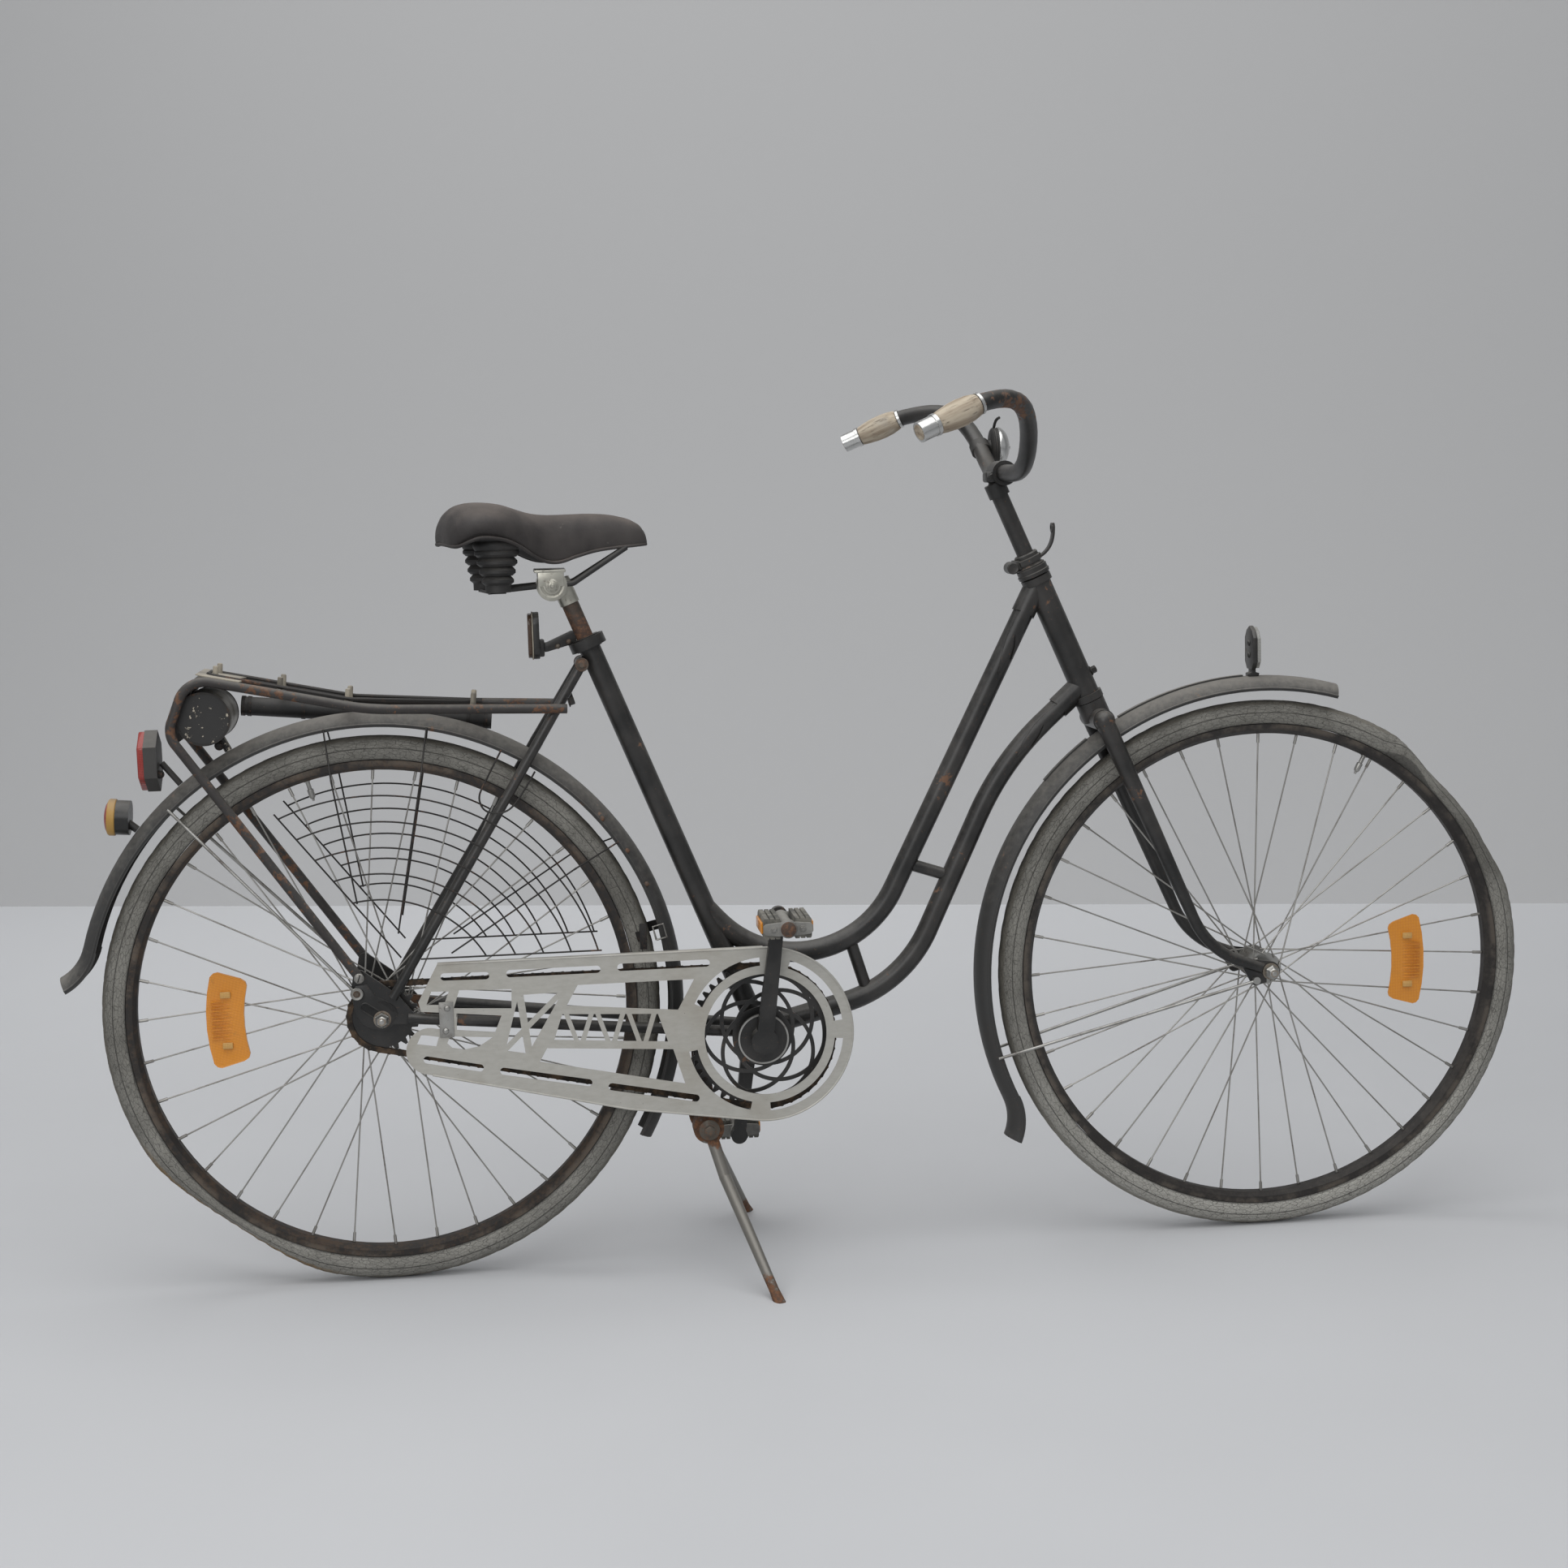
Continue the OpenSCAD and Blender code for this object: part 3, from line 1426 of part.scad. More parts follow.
module crank_arm(dir) {
  side_plate(crank_in, crank_in + crank_t) hull() {
    translate([bb[0], bb[2]]) circle(r = 11, $fn = 32);
    translate([bb[0] + crank_len * dir[0], bb[2] + crank_len * dir[2]]) circle(r = 8, $fn = 32);
  }
  across(bb, crank_in - 6, crank_in + crank_t, boss_r);
  across(bb + crank_len * dir, crank_in, crank_in + crank_t, 11);
  across(bb + crank_len * dir, crank_in + 1, crank_in + crank_t + pedal_gap + pedal_w, pedal_axle_r);
}

module crank_right() {
  color("dimgray") from_axle() {
    mirror([0, 1, 0]) crank_arm(pedal_dir);
    across(bb, -crank_in, crank_in + crank_t, spindle_r);
    across(bb, -crank_in + 5, -chain_line + tooth_t / 2, 14);
    across(bb, -crank_in + 6, -crank_in + 9, disc_cover_r);
  }
}

module crank_left() {
  color("dimgray") from_axle() difference() {
    crank_arm(-pedal_dir);
    across(bb, 0, crank_in + crank_t + 1, spindle_r + run_gap);
  }
}

loop_count = 5;
rosette_r = 59;
rosette_off = 23;
rosette_w = 5;

module chainring() {
  color("black") from_axle() difference() {
    side_plate(-chain_line - tooth_t / 2, -chain_line + tooth_t / 2) union() {
      difference() {
        teeth(bb, ring_r, ring_teeth);
        translate([bb[0], bb[2]]) circle(r = ring_r - 14);
      }
      translate([bb[0], bb[2]]) {
        circle(r = 36);
        for (i = [0:loop_count - 1])
          rotate(360 / loop_count * i) translate([rosette_off, 0]) difference() {
            circle(r = rosette_r + rosette_w / 2);
            circle(r = rosette_r - rosette_w / 2);
          }
      }
    }
    across(bb, -chain_line - 10, -chain_line + 10, 14 + run_gap);
  }
}

module pedal(dir) {
  p = bb + crank_len * dir;
  y0 = crank_in + crank_t + pedal_gap;
  difference() {
    union() {
      across(p, y0, y0 + pedal_w, 12);
      for (s = [-1, 1])
        translate(p + [s * (pedal_len / 2 - 11) - 11, y0, -pedal_t / 2]) cube([22, pedal_w, pedal_t]);
      for (y = [y0, y0 + pedal_w - 8])
        translate(p + [-pedal_len / 2, y, -6]) cube([pedal_len, 8, 12]);
    }
    across(p, y0 - 1, y0 + pedal_w + 1, pedal_axle_r + run_gap);
  }
}

module pedal_right() {
  color("gray") from_axle() mirror([0, 1, 0]) pedal(pedal_dir);
}

module pedal_left() {
  color("gray") from_axle() pedal(-pedal_dir);
}

seat_tube();
head_tube();
upper_tube();
lower_tube();
tube_braces();
head_lugs();
bottom_bracket();
chain_stays();
seat_stays();
rear_axle();
brake_arm();
rear_mudguard();
rear_guard_stays();
carrier_deck();
carrier_legs();
carrier_spring();
tool_can();
pump();
skirt_net_left();
skirt_net_right();
chain_guard();
chain();
seat_post();
saddle();
saddle_frame();
post_reflector();
tail_reflector();
guard_reflector();
stand_bracket();
fork();
fork_collar();
stem();
handlebar();
grips();
ferrules();
bell();
front_mudguard();
front_guard_stays();
front_reflector();
front_axle();
front_tyre();
front_rim();
front_spokes();
front_hub_shell();  // front_hub
front_spoke_reflector();
rear_tyre();
rear_rim();
rear_spokes();
rear_hub_shell();  // rear_hub
rear_spoke_reflector();
sprocket();
crank_right();
crank_left();
chainring();
pedal_right();
pedal_left();
stand_legs();
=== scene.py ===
import math
import bpy
from mathutils import Matrix, Vector


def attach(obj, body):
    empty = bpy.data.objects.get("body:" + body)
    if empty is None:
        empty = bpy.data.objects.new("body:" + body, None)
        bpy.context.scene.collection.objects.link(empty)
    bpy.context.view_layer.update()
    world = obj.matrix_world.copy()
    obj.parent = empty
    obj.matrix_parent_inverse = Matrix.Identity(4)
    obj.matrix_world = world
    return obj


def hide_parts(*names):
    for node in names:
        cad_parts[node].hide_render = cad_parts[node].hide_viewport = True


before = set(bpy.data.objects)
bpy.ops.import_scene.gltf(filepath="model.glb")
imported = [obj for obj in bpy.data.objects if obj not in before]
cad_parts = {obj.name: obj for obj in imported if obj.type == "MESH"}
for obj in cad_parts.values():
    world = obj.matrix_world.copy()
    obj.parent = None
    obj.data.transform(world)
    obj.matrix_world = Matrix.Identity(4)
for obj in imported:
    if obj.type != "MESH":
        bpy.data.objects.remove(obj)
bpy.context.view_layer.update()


def ray(angle):
    """The direction at an angle up from forward, in degrees, in the bicycle's middle plane."""
    return Vector((math.cos(math.radians(angle)), 0, math.sin(math.radians(angle))))


# Millimetres are measured from the floor under the rear axle, +X forward, +Y to the bicycle's left.
MIDDLE = 556.7353
FORWARD = Vector((1, 0, 0))
LEFT = Vector((0, 1, 0))
RIGHT = Vector((0, -1, 0))
UP = Vector((0, 0, 1))
MIRROR = Matrix.Diagonal((1, -1, 1, 1))
REAR_HUB = Vector((0, 0, 356))
FRONT_HUB = Vector((1162, 0, 356))
REAR_FACE = 64.8  # from the middle to the outside of the axle's washer
FRONT_FACE = 53.3
CRANK_AXLE = Vector((484, 0, 305))
CRANK_RUN = 165 * ray(82)  # from the crank's axle to the right pedal
SEAT_ANGLE = 68.3
SEAT_DIR = ray(180 - SEAT_ANGLE)
SEAT_SIDE = ray(90 - SEAT_ANGLE)
SEAT_TOP = CRANK_AXLE + 562 * SEAT_DIR
POST_CLAMP = SEAT_TOP + 78 * SEAT_DIR - 12 * SEAT_SIDE
POST_LENS = SEAT_TOP + Vector((-59, 0, 4))
HEAD_ANGLE = 67
HEAD_DIR = ray(180 - HEAD_ANGLE)
HEAD_FRONT = ray(90 - HEAD_ANGLE)
HEAD_LOW = Vector((934.474, 0, 721.055))
HEAD_TOP = HEAD_LOW + 178 * HEAD_DIR
STEM_TOP = HEAD_TOP + 127 * HEAD_DIR
BAR_CLAMP = STEM_TOP + 14 * HEAD_FRONT + 14 * HEAD_DIR
GRIP_TIP = Vector((-157, 315, 50))  # from the bar's clamp, on the left
GRIP_ROOT = Vector((-77, 290, 84))
BELL_AT = BAR_CLAMP + Vector((3.6, 159.6, 35.8))
RAIL_DIP = Vector((0, 0, 750))
RAIL_BACK = Vector((-219, 0, 797))
RAIL_FRONT = Vector((236.9, 0, 740))
CAN_AT = Vector((-202.9, 0, 744.6))
HEX_AT = Vector((-265.8, 0, 690.2))
CUP_AT = Vector((-317.8, 0, 619.8))
STAND_PIVOT = Vector((411, 0, 186))
STAY_EYE = Vector((-30, 0, 391))
GUARD_MID = Vector((487, -66, 311))
TYRE_MID = 0.3375  # the tyres' three radii are in metres, as Blender takes them
TYRE_ROUND = 0.0185
TYRE_SEAT = 0.3254
HALF_PITCH = 6.35
RING_TEETH = 46
SPROCKET_TEETH = 21
CHAIN_LINKS = 110
CHAIN_LINE = Vector((0, -47, 0))


def at(x, y, z):
    """A place in millimetres from the rear axle's foot, in metres from the part's middle."""
    return Vector(((x - MIDDLE) / 1000, y / 1000, z / 1000))


def sides(y):
    """Right and then left: the offset at a distance from the middle, and the way outwards."""
    return [(Vector((0, side * y, 0)), Vector((0, side, 0))) for side in (-1, 1)]


def tint(code):
    """A written screen colour as the shader's linear colour."""
    parts = [int(code[i:i + 2], 16) / 255 for i in (0, 2, 4)]
    return tuple(c / 12.92 if c <= 0.04045 else ((c + 0.055) / 1.055) ** 2.4 for c in parts) + (1,)


# Finishes

class Value:
    """A shader socket that takes part in plain arithmetic."""

    def __init__(self, finish, socket):
        self.finish = finish
        self.socket = socket

    def _with(self, operation, first, second):
        return self.finish.node("ShaderNodeMath", {"operation": operation}, {0: first, 1: second})

    def __add__(self, other):
        return self._with("ADD", self, other)

    def __radd__(self, other):
        return self._with("ADD", other, self)

    def __sub__(self, other):
        return self._with("SUBTRACT", self, other)

    def __rsub__(self, other):
        return self._with("SUBTRACT", other, self)

    def __mul__(self, other):
        return self._with("MULTIPLY", self, other)

    def __rmul__(self, other):
        return self._with("MULTIPLY", other, self)

    def __pow__(self, other):
        return self._with("POWER", self, other)

    def __abs__(self):
        return self._with("ABSOLUTE", self, 0.0)

    def __neg__(self):
        return self._with("MULTIPLY", self, -1.0)


class Finish:
    """A material built from nodes round one shader."""

    def __init__(self, name, **fixed):
        self.material = bpy.data.materials.new(name)
        self.material.use_nodes = True
        self.tree = self.material.node_tree
        self.tree.nodes.clear()
        out = self.tree.nodes.new("ShaderNodeOutputMaterial")
        self.shader = self.tree.nodes.new("ShaderNodeBsdfPrincipled")
        self.tree.links.new(self.shader.outputs[0], out.inputs[0])
        for socket, value in fixed.items():
            self.shader.inputs[socket.replace("_", " ")].default_value = value

    def put(self, socket, value):
        if isinstance(value, Value):
            self.tree.links.new(value.socket, socket)
        else:
            socket.default_value = tint(value) if isinstance(value, str) else value

    def node(self, kind, settings=None, sockets=None, out=0):
        made = self.tree.nodes.new(kind)
        for key, value in (settings or {}).items():
            setattr(made, key, value)
        for key, value in (sockets or {}).items():
            self.put(made.inputs[key], value)
        return Value(self, made.outputs[out])

    def give(self, **looks):
        for socket, value in looks.items():
            self.put(self.shader.inputs[socket.replace("_", " ")], value)
        return self.material

    def coords(self):
        return self.node("ShaderNodeTexCoord", out=3)

    def placed(self, scale=(1, 1, 1), shift=(0, 0, 0)):
        return self.node("ShaderNodeMapping", {},
                         {"Vector": self.coords(), "Scale": scale, "Location": shift})

    def split(self, vector):
        return [self.node("ShaderNodeSeparateXYZ", {}, {0: vector}, i) for i in range(3)]

    def joined(self, x, y, z):
        return self.node("ShaderNodeCombineXYZ", {}, {0: x, 1: y, 2: z})

    def noise(self, scale, detail, rough=0.55, vector=None):
        return self.node("ShaderNodeTexNoise", {}, {"Vector": vector or self.coords(), "Scale": scale,
                                                    "Detail": detail, "Roughness": rough})

    def cells(self, scale, vector=None, feature="DISTANCE_TO_EDGE"):
        return self.node("ShaderNodeTexVoronoi", {"feature": feature},
                         {"Vector": vector or self.coords(), "Scale": scale})

    def step(self, value, low, high):
        return self.node("ShaderNodeMapRange", {"interpolation_type": "SMOOTHSTEP"},
                         {"Value": value, "From Min": low, "From Max": high})

    def blend(self, share, under, over):
        return self.node("ShaderNodeMix", {"data_type": "RGBA"}, {0: share, 6: under, 7: over}, out=2)

    def wave(self, value):
        return self.node("ShaderNodeMath", {"operation": "SINE"}, {0: value})

    def facing(self):
        return self.split(self.node("ShaderNodeNewGeometry", out=1))

    def upward(self):
        return self.facing()[2]

    def bump(self, height, depth, strength):
        return self.node("ShaderNodeBump", {}, {"Height": height, "Distance": depth, "Strength": strength})


RUST = "48342a"
RUST_PALE = "6e4f3a"
DUST = "8f8b84"


def worn_paint(name, colour, rust, dusty, gloss=0.3, patch=None):
    """Old brushed-over enamel: dull patches, chips down to rust and dust on what faces up."""
    f = Finish(name, Specular_IOR_Level=0.5)
    patches = f.noise(14, 5)
    grain = f.noise(120, 5, 0.65)
    flecks = f.noise(420, 2)
    wear = patches * 0.55 + grain * 0.45
    if patch:
        centre, reach = patch
        x, y, z = f.split(f.placed(shift=-at(*centre)))
        wear = wear + 0.12 * (1 - f.step((x * x + y * y + z * z) ** 0.5, reach * 0.0004, reach * 0.001))
    chipped = f.step(wear, 0.655 - 0.1 * rust, 0.69 - 0.1 * rust)
    bare = f.step(flecks, 0.68 - 0.05 * rust, 0.74)
    shade = f.blend(f.step(patches, 0.35, 0.7), colour, "343230")
    rusty = f.blend(f.step(grain, 0.4, 0.65), RUST, RUST_PALE)
    shade = f.blend(chipped * 0.85, shade, rusty)
    shade = f.blend(bare * 0.35, shade, RUST_PALE)
    dust = f.step(f.upward() + grain * 0.8, 0.55, 1.5) * dusty
    shade = f.blend(dust, shade, DUST)
    return f.give(Base_Color=shade, Roughness=gloss + chipped * 0.4 + dust * 0.5 + grain * 0.12,
                  Normal=f.bump(grain * 0.4 - chipped * 0.8 + flecks * 0.2, 0.0004, 0.55))


def plated(name, colour, tarnish, rough=0.3):
    """Dull plated steel with tarnish clouds and rust specks."""
    f = Finish(name)
    clouds = f.noise(22, 5)
    specks = f.noise(260, 4, 0.7)
    dull = f.step(clouds, 0.42, 0.68) * tarnish
    rusty = f.step(specks * 0.6 + clouds * 0.4, 0.60 - 0.1 * tarnish, 0.68)
    shade = f.blend(dull, colour, "57524b")
    shade = f.blend(rusty * (0.35 + 0.6 * tarnish), shade, RUST)
    return f.give(Base_Color=shade, Metallic=0.9 - rusty * 0.6, Roughness=rough + dull * 0.35 + rusty * 0.3,
                  Normal=f.bump(specks - rusty, 0.0002, 0.5))


def rusted(name, ground, spread, metal):
    """Steel gone brown: ground colour showing between two rusts."""
    f = Finish(name)
    blotch = f.noise(18, 6, 0.62)
    grain = f.noise(170, 5, 0.7)
    share = f.step(blotch * 0.6 + grain * 0.4, 0.62 - 0.3 * spread, 0.74 - 0.2 * spread)
    brown = f.blend(f.step(grain, 0.4, 0.66), RUST, RUST_PALE)
    return f.give(Base_Color=f.blend(share, ground, brown), Metallic=metal - share * metal,
                  Roughness=0.45 + share * 0.35, Normal=f.bump(grain + share * 0.5, 0.0004, 0.7))


def stand_steel(name):
    """The stand: grey steel, rusty at the hinge and where the feet meet the floor."""
    f = Finish(name)
    z = f.split(f.coords())[2]
    blotch = f.noise(24, 6, 0.62)
    grain = f.noise(170, 5, 0.7)
    ends = f.step(-z, -0.036, -0.012) + f.step(z, 0.14, 0.18)
    share = f.step(blotch * 0.6 + grain * 0.4 + ends * 0.24, 0.6, 0.7)
    brown = f.blend(f.step(grain, 0.4, 0.66), "4f3a2c", "7a5236")
    return f.give(Base_Color=f.blend(share, "78756f", brown), Metallic=0.5 - share * 0.4,
                  Roughness=0.42 + share * 0.35, Normal=f.bump(grain + share * 0.5, 0.0004, 0.7))


def guard_plate(name):
    """The chain guard's bare sheet: even satin beige-grey with soft stains and fine dark specks."""
    f = Finish(name)
    clouds = f.noise(9, 4)
    brushed = f.noise(60, 4, 0.6, f.placed((1, 1, 3)))
    spots = f.noise(330, 3)
    grime = f.step(clouds, 0.5, 0.74)
    shade = f.blend(f.step(brushed, 0.3, 0.75) * 0.5, "b6b4ad", "a3a098")
    shade = f.blend(grime * 0.4, shade, "8f8779")
    shade = f.blend(f.step(spots, 0.69, 0.74) * 0.6, shade, "4e4438")
    return f.give(Base_Color=shade, Metallic=0.4 - grime * 0.15, Roughness=0.4 + grime * 0.2 + brushed * 0.08,
                  Normal=f.bump(brushed * 0.4 + spots * 0.2, 0.0002, 0.5))


def rim_steel(name, hub, stain):
    """Rims painted black long ago, brown with rust and greyer where the tyre's bead rubs."""
    f = Finish(name)
    x, _, z = f.split(f.placed(shift=-at(*hub)))
    radius = (x * x + z * z) ** 0.5
    blotch = f.noise(26, 6, 0.65)
    grain = f.noise(190, 5, 0.7)
    pale = f.step(radius, 0.316, 0.322) * f.step(blotch, 0.42, 0.62)
    shade = f.blend(f.step(blotch * 0.5 + grain * 0.5, 0.42, 0.62), "282523", stain)
    shade = f.blend(pale * 0.5, shade, "766d63")
    return f.give(Base_Color=shade, Metallic=0.25 + pale * 0.3, Roughness=0.46 + grain * 0.25,
                  Normal=f.bump(grain, 0.0003, 0.6))


def cracked_rubber(name, pale, torn):
    """Perished grey rubber: a wall line, a net of cracks and a canvas tear, drawn on the unbent tyre."""
    f = Finish(name)
    rest = f.node("ShaderNodeAttribute", {"attribute_name": "unbent"}, out=1)
    x, y, z = f.split(rest)
    radius = (x * x + z * z) ** 0.5
    turn = f.node("ShaderNodeMath", {"operation": "ARCTAN2"}, {0: z, 1: x})
    wall = f.joined(turn * 0.34, abs(y) * 2.5, radius * 2.5)
    clouds = f.noise(9, 5, 0.6, rest)
    grain = f.noise(240, 5, 0.7, rest)
    threads = f.noise(330, 4, 0.7, wall)
    cracks = 1 - f.step(f.cells(95, wall), 0.006, 0.05)
    fine = 1 - f.step(f.cells(260, rest), 0.01, 0.08)
    tread = f.step(radius, 0.3500, 0.3520)
    line = 1 - f.step(abs(radius - 0.3405), 0.0003, 0.0009)
    bead = 1 - f.step(radius, 0.3262, 0.3280)
    shade = f.blend(f.step(clouds, 0.35, 0.68), "696761", "898780")
    shade = f.blend(f.step(-z, -0.05, 0.3) * pale, shade, "a8a69f")
    shade = f.blend(tread * 0.5, shade, "5f594d")
    shade = f.blend((cracks * 0.5 + fine * 0.25) * (1 - tread * 0.5), shade, "34322e")
    shade = f.blend(line * 0.7, shade, "2e2c29")
    shade = f.blend(bead * 0.6, shade, "2b2927")
    middle, reach = torn
    tear = 1 - f.step(abs(turn - math.radians(middle)), reach * 0.6, reach)
    tear = tear * f.step(radius, 0.3465, 0.3500)
    tear = tear * f.step(threads + clouds * 0.4, 0.58, 0.72)
    canvas = f.blend(f.step(threads, 0.45, 0.65), "6b4f2e", "a98a55")
    shade = f.blend(tear * 0.85, shade, canvas)
    return f.give(Base_Color=shade, Roughness=0.78 + grain * 0.15,
                  Normal=f.bump(grain * 0.3 - cracks * 0.6 - fine * 0.3 - line + tear * threads, 0.0012, 0.7))


def oily_steel(name):
    """The chain: dark oil over brown steel."""
    f = Finish(name)
    blotch = f.noise(60, 5, 0.6)
    grain = f.noise(320, 4, 0.7)
    shade = f.blend(f.step(blotch, 0.4, 0.65), "2b2723", "5b4a3a")
    shade = f.blend(f.step(grain, 0.6, 0.75) * 0.6, shade, "91836f")
    return f.give(Base_Color=shade, Metallic=0.5 + grain * 0.2, Roughness=0.42 + blotch * 0.3,
                  Normal=f.bump(grain, 0.0003, 0.6))


def vinyl(name):
    """The saddle's charcoal cover: moulded grain, greyer where it is rubbed and dusty on top."""
    f = Finish(name, Specular_IOR_Level=0.35)
    grain = f.cells(900, feature="F1")
    clouds = f.noise(16, 5)
    scuffs = f.noise(90, 5, 0.7)
    dust = f.step(f.upward() + clouds * 0.7, 0.75, 1.75)
    shade = f.blend(f.step(clouds, 0.35, 0.7), "322f2e", "44403e")
    shade = f.blend(dust * 0.5, shade, "857a72")
    shade = f.blend(f.step(scuffs, 0.66, 0.74) * 0.3, shade, "8a857d")
    return f.give(Base_Color=shade, Roughness=0.58 + dust * 0.25 + scuffs * 0.08,
                  Normal=f.bump(grain + scuffs * 0.4, 0.0004, 0.5))


def weathered_wood(name, along):
    """Grey-brown turned wood with open grain along the grip; both grips mirror each other."""
    f = Finish(name)
    x, y, z = f.split(f.coords())
    axis = Vector(along).normalized()
    run = 0.94 * (x * axis.x + abs(y) * axis.y + z * axis.z)
    drawn = f.joined(x - run * axis.x, abs(y) - run * axis.y, z - run * axis.z)
    fibre = f.noise(420, 5, 0.7, drawn)
    bands = f.noise(120, 3, 0.5, drawn)
    clouds = f.noise(40, 4)
    pores = f.step(fibre, 0.56, 0.7)
    shade = f.blend(f.step(bands, 0.35, 0.68), "b4a895", "8a7b69")
    shade = f.blend(f.step(clouds, 0.45, 0.75) * 0.5, shade, "a39e95")
    shade = f.blend(pores * 0.7, shade, "4d4034")
    return f.give(Base_Color=shade, Roughness=0.72 + fibre * 0.15,
                  Normal=f.bump(bands * 0.4 - pores, 0.0006, 0.8))


def prism_lens(name, colour, deep):
    """A moulded reflector: small pyramids under a clear face, with patches of dirt."""
    f = Finish(name, Coat_Weight=0.6, Coat_Roughness=0.12)
    x, y, z = f.split(f.coords())
    pitch = 330 * 6.28  # ridges to the metre, in radians
    ridges = f.wave((x + z) * pitch) * f.wave((z - x + y * 2) * pitch)
    dirt = f.noise(70, 5)
    glint = f.step(ridges, 0.1, 0.8)
    shade = f.blend(glint, deep, colour)
    shade = f.blend(f.step(dirt, 0.6, 0.8) * 0.3, shade, "5a4a36")
    return f.give(Base_Color=shade, Roughness=0.22 + dirt * 0.3, Normal=f.bump(ridges, 0.0006, 0.5))


def pedal_rubber(name):
    """Grey rubber with clouds of wear and dark pits."""
    f = Finish(name)
    clouds = f.noise(45, 5)
    grain = f.noise(300, 4, 0.7)
    shade = f.blend(f.step(clouds, 0.4, 0.65), "55544f", "7a776f")
    shade = f.blend(f.step(grain, 0.62, 0.72) * 0.5, shade, "3a3733")
    return f.give(Base_Color=shade, Roughness=0.75 + grain * 0.15, Normal=f.bump(grain, 0.0005, 0.6))


def chipped_can(name):
    """The tool can: grey tin round its side, black ends flaked in small islands to an old cream coat."""
    f = Finish(name)
    blotch = f.noise(38, 5, 0.6)
    flecks = f.noise(210, 4, 0.65)
    end = f.step(abs(f.facing()[1]), 0.6, 0.8)
    lost = f.step(blotch * 0.45 + flecks * 0.55, 0.585, 0.605)
    dull = f.step(blotch, 0.4, 0.65)
    side = f.blend(dull, "8b8882", "6b6861")
    face = f.blend(lost, "242322", "b9b0a0")
    shade = f.blend(end, side, face)
    return f.give(Base_Color=shade, Roughness=0.45 + lost * 0.2 + dull * 0.1, Metallic=0.5 - end * 0.5,
                  Normal=f.bump(flecks * 0.2 - lost * end, 0.0004, 0.7))


def leather(name):
    """A dry black strap, finely pored and worn brown in patches."""
    f = Finish(name)
    pores = f.cells(700, feature="F1")
    worn = f.noise(90, 5, 0.7)
    shade = f.blend(f.step(worn, 0.5, 0.7), "1d1b1a", "4a3a2e")
    return f.give(Base_Color=shade, Roughness=0.6 + worn * 0.2, Normal=f.bump(pores + worn, 0.0005, 0.7))


BLACK = "171716"
looks = {
    "black_paint": worn_paint("worn_black_enamel", BLACK, rust=0.4, dusty=0.25),
    "bar_paint": worn_paint("handlebar_enamel", BLACK, rust=0.4, dusty=0.2,
                            patch=(BAR_CLAMP + Vector((-48, -252, 92)), 95)),
    "guard_paint": worn_paint("dusty_mudguard_enamel", "333332", rust=0.3, dusty=0.6, gloss=0.45),
    "rusty_paint": worn_paint("rusty_black_enamel", "2a2624", rust=1.15, dusty=0.35, gloss=0.45),
    "cream": worn_paint("old_cream_coat", "b7ae9c", rust=0.2, dusty=0.5, gloss=0.6),
    "grey": worn_paint("grey_backing", "3b3a38", rust=0.2, dusty=0.3, gloss=0.5),
    "steel": plated("dull_plated_steel", "a7a6a2", tarnish=0.5),
    "bright": plated("bright_alloy", "c4c4c2", tarnish=0.15, rough=0.22),
    "clamp": plated("galvanised_clamp", "bdbbb0", tarnish=0.3, rough=0.33),
    "spoke": plated("spoke_wire", "a8a6a1", tarnish=0.4, rough=0.38),
    "post": rusted("rusty_post", "4c443d", spread=0.8, metal=0.5),
    "screws": rusted("rusty_screws", "5a544c", spread=0.6, metal=0.5),
    "stand": stand_steel("stand_steel"),
    "axle": rusted("aged_axle_nuts", "8f867a", spread=0.4, metal=0.6),
    # painted shade: near-black for the sheets in the fork ends' slots and the screw's nick
    "painted_shade": worn_paint("shaded_slot", "0b0b0b", rust=0.0, dusty=0.1, gloss=0.7),
    "pedal_body": worn_paint("scuffed_pedal_alloy", "8e8d88", rust=0.4, dusty=0.5, gloss=0.5),
    "dark_steel": rusted("dark_steel", "2c2a28", spread=0.3, metal=0.4),
    "front_rim": rim_steel("front_rim_rust", FRONT_HUB, "3a3632"),
    "rear_rim": rim_steel("rear_rim_rust", REAR_HUB, "47392d"),
    "guard": guard_plate("satin_guard_plate"),
    "chain": oily_steel("oily_chain_steel"),
    "front_tyre": cracked_rubber("front_cracked_rubber", 0.8, (52, 0.06)),
    "rear_tyre": cracked_rubber("rear_cracked_rubber", 0.25, (-127, 0.5)),
    "vinyl": vinyl("charcoal_vinyl"),
    "black_rubber": worn_paint("black_bellows_rubber", "1b1b1b", rust=0.0, dusty=0.15, gloss=0.5),
    "wood": weathered_wood("weathered_wood", (-80, 25, -34)),
    "amber": prism_lens("amber_lens", "f0a526", "d4820f"),
    "brown_lens": prism_lens("brown_lens", "5a3a1e", "38230f"),
    "ochre": worn_paint("faded_ochre_rim", "a9833f", rust=0.5, dusty=0.4, gloss=0.45),
    "clip": prism_lens("pale_amber_clip", "dcb06a", "c49449"),
    "red": prism_lens("red_lens", "c2331f", "7d190f"),
    "white": prism_lens("clear_lens", "bdbcb6", "83827d"),
    "pedal": pedal_rubber("pedal_rubber"),
    "can": chipped_can("chipped_can_paint"),
    "leather": leather("dry_leather"),
}

